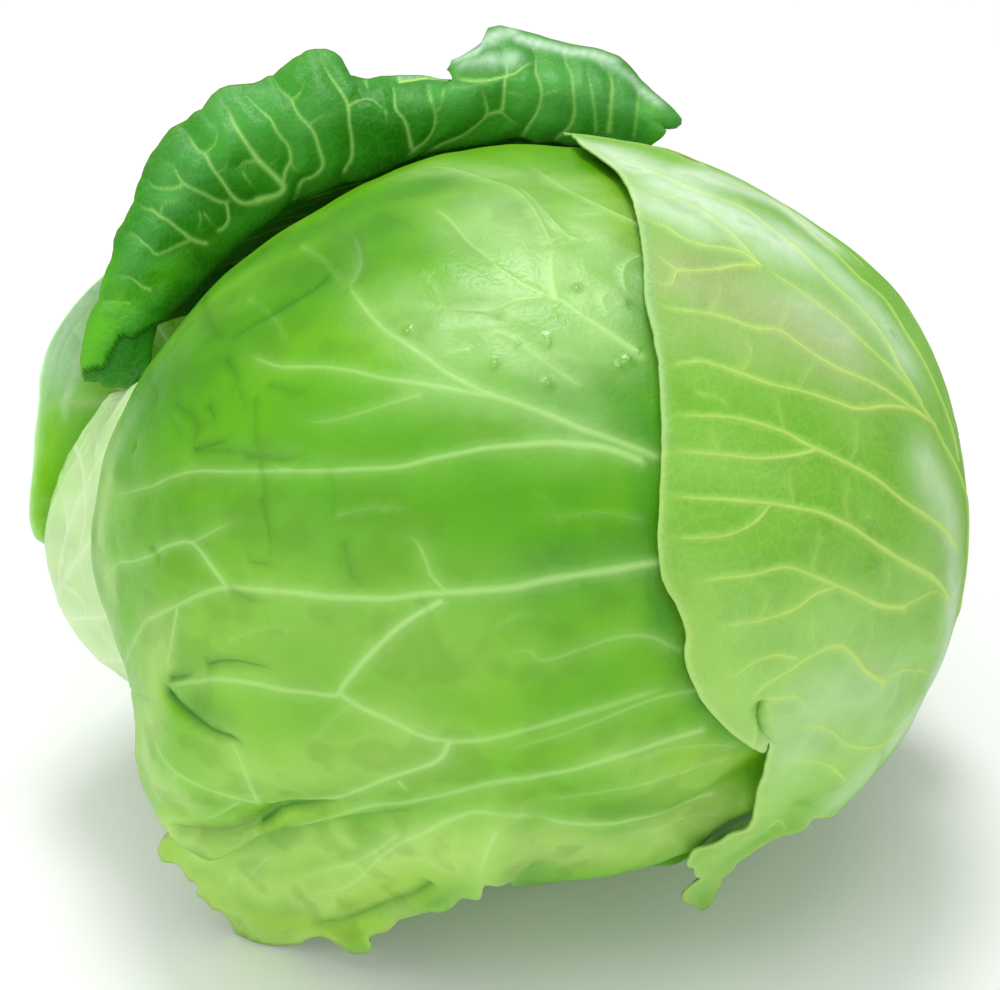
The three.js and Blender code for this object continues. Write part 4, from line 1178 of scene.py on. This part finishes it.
top_loop = np.vstack([direction(np.full(9, STEM_A), np.linspace(-188, -100, 9)), ab((40, -104), (62, -101), (72, -96), (77, -88.5), (80, -87), (83, -90)), ab((79, -94), (78, -115), (80, -140), (80, -165), (76, -188), (45, -190))])
top_chart = Chart(0, 0)
top_lines = venation(top_chart, top_loop, (9.5, -144), (80, -142), top_radius, everywhere, 14, count=7, w0=4.0, w1=1.2, h=1.2, lat=(1.0, .45), lh=.55, c=.95)
top_mat = leaf_material("top_leaf_skin", (126, 196, 34), (112, 186, 30), vein=(190, 226, 130), vein_k=.9, net=(150, 210, 80), net_scale=280, net_k=.22, edge=(180, 220, 90),
                        under=(120, 190, 50), rough=.45, spec=.25, bump=.3)
star_leaf("top_leaf_skin", "top_wrapper_leaf", (0, 0), top_loop, top_radius, top_lines, top_mat, fine=1.6, coarse=1.8, thick=.85, relief=soft_relief(), wild=.3)

rim = pts("(107,270,-16)(98,280,-15.6)(88,292,-15)(85,297,-15)(80,303,-14.6)(70,312,-14.2)(62,320,-14)(55,330,-14)(48,341,-14)(42,355,-14)(39,365,-14)(40,380,-13)(40,400,-12)(38,412,-12)(36,422,-12)(33,432,-12)(35,440,-12)(37,452,-12)(38,470,-12)(37,482,-12.4)(34,491,-13)(30,500,-14)(27,512,-15)(28,520,-16)(31,532,-18)(36,541,-20)(42,542,-21)")
rim_p = at_depth(rim[:, 0], rim[:, 1], rim[:, 2])
rim_n = unit(rim_p - CENTRE)
rim_d = np.linalg.norm(rim_p - CENTRE, axis=1) - left_radius(rim_n)
# the rim stands off the head, and sinks back to it behind
rings = [(rim_n, rim_d)]
for back_by, share in ((5, .82), (10, .55), (16, .25), (23, 0.0), (30, 0.0)):
    axis = unit(np.cross(rim_n, BACK))
    a = math.radians(back_by)
    turned = unit(rim_n * math.cos(a) - BACK[None] * math.sin(a))
    rings.append((turned, rim_d * share))
left_field = Field(np.vstack([r[0] for r in rings]), np.concatenate([r[1] for r in rings]), 2.6)


def left_face(n):
    return left_radius(n) + left_field(n)


ra, rb = angles(rim_n)
print("left rim a", ra.round(0)[[0, 8, 16, 26]], "b", rb.round(0)[[0, 8, 16, 26]])
left_loop = np.vstack([direction(np.full(9, STEM_A), np.linspace(226, 150, 9)), ab((45, 150), (80, 152), (110, 154), (128, 156)), rim_n[::-1], ab((134, 222), (120, 222), (95, 222), (50, 222))])
left_chart = Chart(100, 190)
left_lines = venation(left_chart, left_loop, (10, 188), (160, 186), left_face, everywhere, 21, count=9, w0=4.4, w1=1.4, h=1.4, lat=(1.3, .5), lh=.6, c=.95)
rim_in = lambda k, back_by: CENTRE + (lambda m: m * left_face(m)[:, None])(unit(rim_n[k] * math.cos(math.radians(back_by)) - BACK[None] * math.sin(math.radians(back_by))))
left_lines.append(Vein(rim_in(slice(1, 12), 3.0), .5, .45, .35, .9, False))
left_masks = {
    "inner": [(rim_in(slice(0, 27), 4.0), 8.0, 1.0), (rim_in(slice(4, 22), 8.0), 7.0, .9)],
    "shade": [(on_leaf("(108,384)(125,362)(150,332)(180,300)(205,275)", left_face), 5.0, 1.0)],
    "bluish": [(rim_in(slice(0, 11), 2.5), 6.0, 1.0), (rim_in(slice(9, 16), 1.5), 4.0, .8)],
    "white": [(rim_in(slice(2, 14), 6.5), 1.0, .7), (rim_in(slice(3, 10), 1.2), .9, .8)],
    "lime": [(rim_in(slice(15, 27), 3.0), 6.0, .95)],
}
left_mat = leaf_material("left_leaf_skin", (116, 180, 54), (104, 170, 42), painted_glow=.24, patches=(("inner", (150, 214, 84), .9), ("bluish", (216, 252, 220), .9), ("white", (246, 255, 246), .85), ("lime", (140, 200, 14), .9), ("shade", (20, 86, 0), 1.0)),
                         vein=(206, 234, 170), vein_k=.85, net=(170, 214, 110), net_scale=260, net_k=.2, edge=(200, 230, 190), edge_k=.5,
                         rough=.45, spec=.25, bump=.3)
star_leaf("left_leaf_skin", "left_wrapper_leaf", (100, 195), left_loop, left_face, left_lines, left_mat, fine=1.4, coarse=1.5, thick=.9,
          relief=soft_relief(1.0, .4), masks=left_masks, wild=.3, both_sides=True)


# ---------------------------------------------------------------------------
# Collar leaf: a net from the stem, over the back of the head, to a flared rim
# ---------------------------------------------------------------------------
sections = [((84, 382, 7), (112, 386, 6), (150, 382, 4)), ((94, 310, 3), (117, 314, 4), (154, 322, 0)), ((115, 240, 0), (140, 260, 3), (182, 292, -4)),
            ((143, 175, -2), (173, 207, 2), (214, 254, -7)), ((195, 114, -3), (225, 155, 2), (264, 213, -8)), ((268, 78, -5), (292, 125, 1), (321, 186, -8)),
            ((341, 60, -8), (355, 110, -1), (379, 167, -9)), ((400, 77, -9), (408, 112, -3), (420, 150, -9)), ((491, 31, -17), (487, 85, -4), (492, 133, -10)),
            ((550, 42, -17), (548, 90, -5), (545, 138, -10)), ((625, 66, -15), (614, 100, -7), (602, 138, -11)), ((680, 122, -14), (664, 134, -11), (648, 148, -14))]
rim_trace = pts("(84,380)(81,370)(80,360)(82,350)(84,340)(88,325)(94,310)(100,300)(103,285)(108,270)(113,260)(115,250)(115,240)(118,230)(125,222)(130,212)(134,203)(136,195)(139,185)(143,175)(148,165)(153,155)(160,147)(166,138)(172,130)(180,125)(188,121)(195,114)(203,111)(208,104)(213,97)(220,91)(228,88)(240,87)(253,86)(261,83)(268,78)(274,77)(280,72)(288,66)(295,60)(302,57)(307,53)(315,51)(325,51)(332,54)(338,59)(341,65)(342,72)(344,77)(355,77)(370,78)(385,78)(400,76)(420,76)(440,79)(455,81)(462,80)(463,75)(462,69)(458,65)(449,64)(458,61)(465,58)(475,52)(484,46)(488,39)(491,31)(500,29)(520,33)(550,42)(575,47)(600,53)(618,58)(625,64)(635,75)(650,91)(663,103)(672,112)(679,120)(680,123)(672,125)(665,125)(660,123)(659,117)(655,115)(653,118)(653,122)(655,127)(658,131)")
edge_px = np.array([s[0] for s in sections], float)
# the traced rim, cut where each section meets it
marks = [int(np.argmin(((rim_trace - e[:2]) ** 2).sum(1))) for e in edge_px]
marks[-1] = len(rim_trace) - 1
rim_s, rim_b = np.zeros(len(rim_trace)), np.zeros(len(rim_trace))
step_len = np.concatenate([[0], np.cumsum(np.linalg.norm(np.diff(rim_trace, axis=0), axis=1))])
for i in range(11):
    a, b = marks[i], marks[i + 1]
    f = (step_len[a:b + 1] - step_len[a]) / max(step_len[b] - step_len[a], 1e-6)
    rim_s[a:b + 1] = (i + f) / 11
    rim_b[a:b + 1] = edge_px[i, 2] * (1 - f) + edge_px[i + 1, 2] * f
ACROSS, HUG, FLARE = 390, 36, 78
s_all = np.linspace(0, 1, ACROSS)


def row_curve(k):
    P = at_depth(*[np.array([s[k][j] for s in sections], float) for j in range(3)])
    fine_row = catmull(P, n=1200)
    # parameter of each section along the row, so that columns stay on their sections
    seg = np.concatenate([[0], np.cumsum(np.linalg.norm(np.diff(fine_row, axis=0), axis=1))])
    at = np.array([seg[np.argmin(((fine_row - p) ** 2).sum(1))] for p in P])
    want = np.interp(s_all, np.linspace(0, 1, 12), at)
    return np.stack([np.interp(want, seg, fine_row[:, j]) for j in range(3)], axis=1)


edge_row, band_row, fold_row = row_curve(0), row_curve(1), row_curve(2)
rim3 = at_depth(rim_trace[:, 0], rim_trace[:, 1], rim_b)
rim_row = np.stack([np.interp(s_all, rim_s, rim3[:, j]) for j in range(3)], axis=1)
# a slow wave along the flare, deeper at the rim
wave = 1.6 * noise(band_row, 17) + 0.5 * noise(band_row, 7)
band_row = band_row + BACK[None] * (0.5 * wave)[:, None]
rim_row = rim_row + BACK[None] * wave[:, None]
stem_chart = Chart(0, 0)
grid = np.zeros((ACROSS, HUG + FLARE, 3))
start = stem_chart.flat(direction(np.full(ACROSS, STEM_A), -192 + 80 * s_all))
end = stem_chart.flat(unit(fold_row - CENTRE))
t = np.linspace(0, 0.93, HUG + 1)
q = stem_chart.lift((start[:, None] + (end - start)[:, None] * t[None, :, None]).reshape(-1, 2))
lie = np.tile(6.5 - 2.0 * smooth01((t - 0.75) / 0.18), ACROSS)
hug = (CENTRE + q * (head(q) + lie)[:, None]).reshape(ACROSS, HUG + 1, 3)
ctl = np.stack([hug[:, -9], hug[:, -5], hug[:, -1], fold_row, band_row, rim_row, 2 * rim_row - band_row], axis=1)
parts = []
u = np.linspace(0, 1, 41)[:-1][None, :, None]
for i in (2, 3, 4):
    p0, p1, p2, p3 = (ctl[:, i - 1 + k][:, None] for k in range(4))
    t01, t12, t23 = (np.maximum(np.linalg.norm(b - a, axis=-1, keepdims=True), 1e-6) ** 0.5 for a, b in ((p0, p1), (p1, p2), (p2, p3)))
    m1 = p2 - p1 + t12 * ((p1 - p0) / t01 - (p2 - p0) / (t01 + t12))
    m2 = p2 - p1 + t12 * ((p3 - p2) / t23 - (p3 - p1) / (t12 + t23))
    parts.append((2 * (p1 - p2) + m1 + m2) * u ** 3 + (-3 * (p1 - p2) - 2 * m1 - m2) * u ** 2 + m1 * u + p1)
tail = np.concatenate(parts + [rim_row[:, None]], axis=1)
grid[:, :HUG] = hug[:, :-1]
for j in range(ACROSS):
    L = np.concatenate([[0], np.cumsum(np.linalg.norm(np.diff(tail[j], axis=0), axis=1))])
    w = np.linspace(0, L[-1], FLARE)
    for k in range(3):
        grid[j, HUG:, k] = np.interp(w, L, tail[j, :, k])
# ragged near end of the leaf
along = grid[1] - grid[0]
v = np.linspace(0, 1, FLARE)
jag = 0.9 * noise(np.column_stack([v * 60, v * 0, v * 0]), 2.3) + 0.7 * noise(np.column_stack([v * 60, v * 0, v * 0 + 9]), 6)
for j in range(26):
    f = 1 - smooth01(j / 25.0)
    grid[j, HUG:] += (unit(grid[25, HUG:] - grid[0, HUG:]) * (1.5 * jag * f)[:, None])
flat_grid = grid.reshape(-1, 3)
I, J = np.meshgrid(np.arange(ACROSS - 1), np.arange(HUG + FLARE - 1), indexing="ij")
W = HUG + FLARE
a00, a10, a01, a11 = I * W + J, (I + 1) * W + J, I * W + J + 1, (I + 1) * W + J + 1
collar_faces = np.vstack([np.stack([a00, a10, a11], -1).reshape(-1, 3), np.stack([a00, a11, a01], -1).reshape(-1, 3)])
collar_n = vertex_normals(flat_grid, collar_faces)
probe = grid[200, 20]
if (collar_n.reshape(ACROSS, W, 3)[200, 20] @ (probe - CENTRE)) < 0:
    collar_faces = collar_faces[:, ::-1]
    collar_n = -collar_n
flare_px = np.stack(project(grid[:, HUG - 6:].reshape(-1, 3)), axis=1)
flare_pt = grid[:, HUG - 6:].reshape(-1, 3)
flare_nm = collar_n.reshape(ACROSS, W, 3)[:, HUG - 6:].reshape(-1, 3)
front_side = (unit(CAM - flare_pt) * flare_nm).sum(1) < 0.15      # the inner face is what the camera sees


def on_collar(text):
    out = []
    for x, y in pts(text):
        d = ((flare_px - [x, y]) ** 2).sum(1) + np.where(front_side, 0, 60)
        k = np.argsort(d)[:5]
        w = 1 / (d[k] + 0.3)
        out.append((flare_pt[k] * w[:, None]).sum(0) / w.sum())
    return np.array(out)


collar_rows = [
    ("(318,196)(335,178)(345,168)(350,160)(352,150)(351,135)(349,120)(348,105)(343,95)(335,84)(328,72)(320,60)", .75, .3, .5, 1.0),
    ("(294,200)(303,181)(312,178)(320,171)(323,163)(321,155)(318,145)(314,133)(308,125)(300,117)(294,108)(292,101)(287,96)(280,90)(275,82)", .6, .3, .45, .9),
    ("(292,100)(298,96)(303,90)(306,82)", .32, .24, .25, .6),
    ("(284,184)(286,171)(291,162)(290,153)(287,145)(281,137)(275,129)(271,120)(263,113)(255,106)(247,98)", .5, .26, .4, .8),
    ("(291,165)(297,169)(301,175)", .3, .22, .2, .6),
    ("(258,200)(270,197)(280,193)(284,188)(282,184)(274,176)(266,168)(258,160)(253,152)(247,143)(241,134)(235,125)(230,113)(225,103)", .9, .35, .6, 1.15),
    ("(258,161)(243,163)(240,167)(222,171)", .34, .22, .25, .6), ("(242,172)(252,184)(260,191)", .26, .2, .18, .5),
    ("(257,201)(245,203)(237,200)(233,196)(228,189)(222,181)(216,173)(210,164)(205,154)(200,152)(195,146)(190,137)(184,128)", .6, .28, .45, .95),
    ("(205,154)(210,149)(215,144)(218,135)(218,124)", .34, .22, .25, .55),
    ("(218,230)(223,227)(228,220)(228,212)(226,203)(221,202)(212,198)(202,193)(192,188)(184,184)(178,174)(175,167)(170,163)", .5, .26, .4, .9),
    ("(226,202)(237,200)", .36, .3, .3, .8), ("(184,184)(178,188)(170,189)(158,189)(152,184)(145,179)", .34, .22, .25, .65),
    ("(206,243)(198,242)(190,239)(183,233)(175,227)(168,221)(160,217)(154,211)(148,210)(137,203)", .55, .26, .4, .9),
    ("(192,240)(175,247)(165,251)(156,254)(148,246)(142,242)(137,237)(124,231)", .4, .26, .3, .8),
    ("(150,289)(143,287)(137,282)(132,278)(124,276)(115,277)", .42, .26, .3, .75), ("(129,304)(110,302)(100,303)", .36, .26, .25, .7),
    ("(198,212)(199,222)(193,236)", .26, .2, .18, .45), ("(203,213)(214,226)(220,230)", .26, .2, .18, .45),
    ("(365,80)(369,99)", .34, .26, .25, .6), ("(349,106)(355,102)(365,100)(372,101)(378,105)(388,112)(393,111)", .34, .26, .25, .6),
    ("(411,147)(408,132)(406,124)(402,117)(396,110)(394,92)(392,84)", .5, .28, .4, .85), ("(385,111)(386,120)(384,130)", .28, .2, .2, .45),
    ("(380,163)(395,158)(414,148)(423,141)(429,134)(433,126)(435,117)(434,110)(431,100)(428,90)(425,82)", .55, .3, .4, .9),
    ("(438,110)(445,95)(448,86)", .32, .24, .22, .6),
    ("(395,161)(415,152)(435,144)(450,139)(463,134)(472,128)(480,122)(487,115)(485,100)(482,90)(480,80)", .6, .3, .42, .9),
    ("(487,115)(495,112)(501,111)(503,105)(505,82)(507,70)(503,58)(500,50)", .5, .3, .4, .8), ("(501,111)(507,117)(515,121)(523,127)", .34, .24, .25, .65),
    ("(504,151)(520,137)(527,127)(533,118)(538,107)(541,95)(540,85)(536,75)(535,60)(532,52)", .6, .3, .42, .85),
    ("(525,152)(548,141)(558,135)(570,123)(574,112)(573,90)(571,77)(566,65)(563,55)", .62, .32, .42, .85),
    ("(595,130)(593,100)(590,85)(585,70)", .45, .3, .3, .55), ("(608,130)(611,100)(612,85)(608,75)(598,68)", .75, .45, .42, .8), ("(634,135)(637,110)(640,80)", .45, .3, .3, .5),
    ("(400,82)(415,80)(430,79)(445,80)(463,81)(478,80)(492,79)(505,76)(515,73)(522,68)(530,64)(535,60)", .45, .4, .5, 1.25),
    ("(308,125)(320,118)(335,112)(346,105)", .24, .18, .15, .35), ("(266,168)(275,160)(287,150)", .24, .18, .15, .35), ("(216,173)(228,165)(241,160)", .24, .18, .15, .35),
    ("(160,217)(166,206)(178,200)(192,190)", .24, .18, .15, .35), ("(541,95)(552,92)(572,90)", .24, .18, .15, .35), ("(505,90)(520,95)(538,98)", .24, .18, .15, .35),
]
collar_veins = [Vein(on_collar(t), a, b, h, c, h > .22) for t, a, b, h, c in collar_rows]
# what the camera doesn't see: a midrib and laterals over the back
for k, s0 in enumerate((0.08, 0.2, 0.33, 0.47, 0.62, 0.75, 0.88)):
    t = np.linspace(0, 1, 26)
    row = np.clip(((0.45 + (s0 - 0.45) * np.minimum(1, 0.25 + t * 1.2)) * (ACROSS - 1)), 0, ACROSS - 1).astype(int)
    line = grid[row, np.clip((t * (HUG + 16)).astype(int) + 1, 0, W - 1)]
    collar_veins.append(Vein(line[::2], 2.6 if k == 3 else 1.5, .5, 1.3 if k == 3 else .7, .9))
    for f in (9, 14, 19):
        c = np.clip(row[f] + np.linspace(0, 26, 9) * (1 if (f + k) % 2 else -1), 0, ACROSS - 1).astype(int)
        r = np.clip(f / 26 * (HUG + 16) + np.linspace(1, 10, 9), 0, W - 1).astype(int)
        collar_veins.append(Vein(grid[c, r], .5, .25, .3, .6, False))
pale, ridge, near = vein_fields(flat_grid, collar_veins)
jj = np.tile(np.arange(W), ACROSS)
ii = np.repeat(np.arange(ACROSS), W)
to_edge = np.minimum(np.minimum((W - 1 - jj) * 0.45, ii * 0.55), (ACROSS - 1 - ii) * 0.55)
flare_part = smooth01((jj - HUG + 4) / 14.0)
# between the veins the blade puffs towards the viewer, by more on the flare
puff = (0.35 + 0.75 * flare_part) * (1 - np.exp(-(near / 3.0) ** 2))
lump = 0.5 * noise(flat_grid, 15) + 0.28 * noise(flat_grid, 5.5) + 0.08 * noise(flat_grid, 2.2)
shift = -puff - lump * (0.4 + 0.6 * flare_part)
# a torn edge: below it the blade lies deeper, in real shadow and with a painted shadow in its colour
torn = pts("(70,372)(82,372)(92,367)(105,365)(106,358)(113,347)(117,338)(118,334)(133,336)(140,331)(160,318)(183,299)(200,284)(215,268)(240,262)(240,420)(70,420)")
flat_px = np.stack(project(flat_grid), axis=1)
low_part = inside(flat_px, torn) & (jj > HUG - 6) & (ii < 130)
shift = shift + 1.3 * low_part
mid_sheet = flat_grid + collar_n * (shift + 0.35)[:, None]
cn = vertex_normals(mid_sheet, collar_faces)
half = 0.42 * (0.4 + 0.6 * smooth01(to_edge / 2.5))
outer = mid_sheet + cn * (half + np.abs(ridge) * 0.9)[:, None]
inner = mid_sheet - cn * (half - ridge * 0.15)[:, None]
P, T = shell(outer, inner, collar_faces)
side = np.concatenate([np.zeros(len(outer)), np.ones(len(inner))])


def collar_spots(*rows):
    return [(on_collar(t), s * 0.218, k) for t, s, k in rows]


collar_masks = {
    # dark: painted shadow in the crevice where the collar meets the head, along its fold and at its near end, with
    # some darker green on the flare
    "dark": collar_spots(("(120,366)(138,345)(160,310)(185,285)(205,268)", 12, 1.0), ("(200,262)(240,235)(290,205)(330,185)(380,168)(420,160)", 16, 1.0), ("(440,150)(500,145)(560,148)(600,150)", 14, 1.0), ("(330,110)(360,130)(400,130)", 22, .5), ("(210,190)(240,190)", 16, .5), ("(130,330)(160,305)", 10, .6)),
    "lime": collar_spots(("(88,372)(92,350)(100,335)(110,322)(122,305)", 14, 1.0), ("(150,290)(180,265)(205,250)", 12, .7), ("(100,300)(112,265)", 9, .6), ("(650,110)(655,140)", 10, .4)),
    # painted_blue_sheen: bluish-pale patches on the flare, a painted sheen where its waxy cells catch reflected light
    "painted_blue_sheen": collar_spots(("(230,120)(220,105)(260,100)", 17, .8), ("(180,150)(170,200)(200,170)", 16, .55), ("(320,65)(330,58)", 10, .5), ("(300,130)(320,100)", 16, .45), ("(410,95)(460,92)", 16, .6),
                         ("(560,75)(600,90)(640,110)(660,118)", 22, .9), ("(530,100)(560,120)", 16, .5), ("(150,230)(130,260)", 12, .35), ("(370,85)(345,85)", 9, .4)),
    # bent: whitish colour along the rim where it bends back, mostly a painted reflection of the bright surroundings at
    # a grazing angle, partly the rim's own pale margin
    "bent": collar_spots(("(460,62)(480,55)(495,40)(510,36)", 8, 1.0), ("(520,42)(550,50)(580,56)(610,64)", 7, 1.0), ("(600,62)(622,75)(640,90)(655,105)", 6, .8), ("(400,78)(430,78)(458,80)", 2.2, .9), ("(470,66)(490,62)(510,60)", 9, .7)),
}
att = {"vein": np.tile(pale, 2), "edge": np.tile(np.exp(-to_edge / .7), 2), "fold": np.zeros(2 * len(outer)), "near": np.tile(np.exp(-near / 2.5), 2), "under": 1 - side}
wide, mid = mottle(flat_grid)
att["wide"], att["mid"] = np.tile(wide, 2), np.tile(mid, 2)
for key, rows in collar_masks.items():
    values = soft_mask(flat_grid, rows) * (0.25 + 0.75 * flare_part)
    # below the torn edge the dark colour is a painted shadow
    if key == "dark":
        values = np.maximum(values, 0.85 * low_part)
    if key == "lime":
        values = np.where(low_part, 0, values)
    att[key] = np.tile(values, 2)
collar_mat = leaf_material("collar_leaf_skin", (54, 142, 26), (40, 128, 14), patches=(("painted_blue_sheen", (92, 170, 84), .75), ("lime", (88, 176, 4), .85), ("dark", (26, 108, 0), .85), ("bent", (186, 222, 186), .95)),
                           vein=(164, 218, 112), vein_k=1.0, net=(92, 174, 50), net_scale=330, net_k=.18, edge=(110, 150, 50), edge_k=.35,
                           rough=.42, spec=.25, bump=.45, freckles=.35, under=(96, 160, 70))
print("collar", len(T), "triangles")
add_mesh("collar_leaf_skin", P, T, att, collar_mat, ("collar_leaf",))


# ---------------------------------------------------------------------------
# Cut stem, and the closed inner leaves that show only through gaps
# ---------------------------------------------------------------------------
def stem_piece():
    ax = STEM
    u = unit(np.cross(ax, [0, 0, 1.0]))
    v = np.cross(ax, u)
    low = float(head(ax[None])[0]) - 6.4
    top = float(head(ax[None])[0]) + 7.1 + 8.7
    top = top - 2.6
    rings, around = 46, 120
    ang = np.linspace(0, 2 * math.pi, around, endpoint=False)
    pts3, face_d = [], []
    side_rows = [(low + (top - 0.8 - low) * t, 1.0) for t in np.linspace(0, 1, 26)]
    for h, k in side_rows + [(top - 0.45, .985), (top - .15, .955), (top, .91)]:
        w = 11.3 * k * (1 + 0.05 * np.cos(3 * ang + .6) + 0.035 * np.cos(5 * ang + 2) + 0.02 * np.cos(9 * ang))
        w = w + 0.35 * np.cos(17 * ang + 0.1 * h) * (0.5 + 0.5 * np.cos(2 * ang)) * (1 - 0.5 * (h > top - 1)) + (0.9 * math.exp(-((h - low - 6) / 4.0) ** 2))
        pts3.append(CENTRE + ax * h + (w * np.cos(ang))[:, None] * u + (w * np.sin(ang))[:, None] * v)
        face_d.append(np.full(around, 1.0 + (h < top - .5)))
    for r in np.linspace(.88, .02, 24):
        w = 11.3 * r * (1 + 0.05 * np.cos(3 * ang + .6) * r + 0.035 * np.cos(5 * ang + 2) * r)
        q = np.column_stack([w * np.cos(ang), w * np.sin(ang), 0 * ang])
        z = top - 0.55 * np.exp(-((r - .55) / .14) ** 2) * 0.6 - 0.9 * math.exp(-(r / .3) ** 2) + 0.14 * noise(q * 3, 2.4) + 0.10 * noise(q + 40, 1.1)
        pts3.append(CENTRE + ax * z[:, None] + q[:, :1] * u + q[:, 1:2] * v)
        face_d.append(np.full(around, r))
    n_r = len(pts3)
    P = np.vstack(pts3)
    F = []
    for i in range(n_r - 1):
        a = i * around + np.arange(around)
        b = i * around + (np.arange(around) + 1) % around
        F += [np.stack([a, b, b + around], 1), np.stack([a, b + around, a + around], 1)]
    P = np.vstack([P, CENTRE + ax * (top - .95), CENTRE + ax * low])
    c1, c0 = len(P) - 2, len(P) - 1
    a = (n_r - 1) * around + np.arange(around)
    b = (n_r - 1) * around + (np.arange(around) + 1) % around
    F.append(np.stack([a, b, np.full(around, c1)], 1))
    a, b = np.arange(around), (np.arange(around) + 1) % around
    F.append(np.stack([b, a, np.full(around, c0)], 1))
    F = np.vstack(F)
    vol = (P[F[:, 0]] * np.cross(P[F[:, 1]], P[F[:, 2]])).sum()
    if vol < 0:
        F = F[:, ::-1]
    ring = np.concatenate(face_d + [[0.0], [2.0]])
    m = Mat("cut_stem_flesh")
    r = m.attr("ring")
    speck = m.noise(700, 4.0, .6).outputs["Fac"]
    wide = m.noise(160, 3.0, .5, .3).outputs["Fac"]
    rr = m.calc("ADD", r, m.calc("MULTIPLY", m.calc("SUBTRACT", wide, .5), .12))
    c = m.blend(m.band(rr, .25, .5), rgb(222, 228, 190), rgb(206, 220, 160))
    c = m.blend(m.calc("MULTIPLY", m.band(rr, .5, .62), m.band(rr, .72, .62)), c, rgb(176, 196, 120))
    c = m.blend(m.band(rr, .8, .95), c, rgb(192, 206, 140))
    c = m.blend(m.band(r, 1.1, 1.6), c, rgb(188, 214, 140))
    c = m.blend(m.calc("MULTIPLY", m.band(speck, .55, .72), .4), c, rgb(164, 150, 96))
    c = m.blend(m.calc("MULTIPLY", m.calc("MULTIPLY", m.band(r, .84, .96), m.band(r, 1.3, 1.05)), .55), c, rgb(158, 140, 84))
    m.put(m.p.inputs["Base Color"], c)
    m.put(m.p.inputs["Roughness"], m.band(speck, .3, .7, .5, .7))
    m.p.inputs["Specular IOR Level"].default_value = .3
    bm = m.t.nodes.new("ShaderNodeBump")
    bm.inputs["Strength"].default_value = .5
    bm.inputs["Distance"].default_value = .0005
    m.put(bm.inputs["Height"], m.calc("ADD", speck, m.calc("MULTIPLY", wide, .6)))
    m.put(m.p.inputs["Normal"], bm.outputs[0])
    add_mesh("cut_stem", P, F, {"ring": ring}, m.m, ("stem_stump",))


stem_piece()
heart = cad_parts["heart_of_inner_leaves"]
heart_mat = leaf_material("heart_skin", (150, 202, 84), (132, 190, 60), vein=(190, 226, 150), net=(176, 216, 120), net_scale=140, net_k=.25, rough=.5, spec=.25, bump=.3, plain=True)
heart.data.materials.clear()
heart.data.materials.append(heart_mat)


# ---------------------------------------------------------------------------
# Floor, light, camera
# ---------------------------------------------------------------------------
floor_mesh = bpy.data.meshes.new("floor")
floor_mesh.from_pydata([(-30, -30, -0.0002), (30, -30, -0.0002), (30, 30, -0.0002), (-30, 30, -0.0002)], [], [(0, 1, 2, 3)])
floor = bpy.data.objects.new("floor", floor_mesh)
bpy.context.scene.collection.objects.link(floor)
fm = Mat("floor_paint")
grain = fm.noise(30, 3.0).outputs["Fac"]
fm.put(fm.p.inputs["Base Color"], fm.blend(grain, (0.90, 0.90, 0.90, 1), (0.93, 0.93, 0.93, 1)))
fm.p.inputs["Roughness"].default_value = 0.9
fm.p.inputs["Specular IOR Level"].default_value = 0.1
floor_mesh.materials.append(fm.m)

world = bpy.data.worlds.new("world")
bpy.context.scene.world = world
world.use_nodes = True
world.node_tree.nodes["Background"].inputs["Color"].default_value = (0.97, 0.99, 1.0, 1)
world.node_tree.nodes["Background"].inputs["Strength"].default_value = 0.42


def area(name, place, target, size, power, colour=(1, 1, 1)):
    data = bpy.data.lights.new(name, "AREA")
    data.shape = "DISK"
    data.size = size
    data.energy = power
    data.color = colour
    ob = bpy.data.objects.new(name, data)
    z = unit(np.array(place, float) - np.array(target, float))
    x = unit(np.cross([0, 0, 1.0] if abs(z[2]) < 0.99 else [0, 1.0, 0], z))
    y = np.cross(z, x)
    ob.matrix_world = Matrix(((x[0], y[0], z[0], place[0]), (x[1], y[1], z[1], place[1]), (x[2], y[2], z[2], place[2]), (0, 0, 0, 1)))
    bpy.context.scene.collection.objects.link(ob)
    return ob


glint = hit(np.array([520.0]), np.array([290.0]), front_radius)[0]
gn = unit(glint - CENTRE)
gn = unit(gn / AXES ** 2 * (AXES ** 2).mean())
view = unit(CAM - glint)
back = 2 * (gn @ view) * gn - view
key_at = (glint + back * 1300) * 0.001
print("key light", key_at)
area("key", key_at, (0, 0, 0.08), 0.5, 8)
area("top", (-0.2, -0.1, 1.9), (0, 0, 0.08), 2.2, 14)
area("left", (-1.5, -0.9, 0.7), (0, 0, 0.08), 1.4, 8)
area("right", (1.5, -1.1, 0.8), (0, 0, 0.08), 2.4, 6)
area("low", (-0.1, -1.7, 0.45), (0, 0, 0.05), 1.6, 8)

cam_data = bpy.data.cameras.new("camera")
cam = bpy.data.objects.new("camera", cam_data)
bpy.context.scene.collection.objects.link(cam)
cam_data.sensor_fit = "HORIZONTAL"
cam_data.sensor_width = 36
cam_data.lens = 99
cam_data.clip_start = 0.01
cam_data.clip_end = 100
q = CAM * 0.001
cam.matrix_world = Matrix(((RIGHT[0], UP[0], BACK[0], q[0]), (RIGHT[1], UP[1], BACK[1], q[1]), (RIGHT[2], UP[2], BACK[2], q[2]), (0, 0, 0, 1)))
bpy.context.scene.camera = cam
bpy.context.scene.view_settings.view_transform = "Standard"
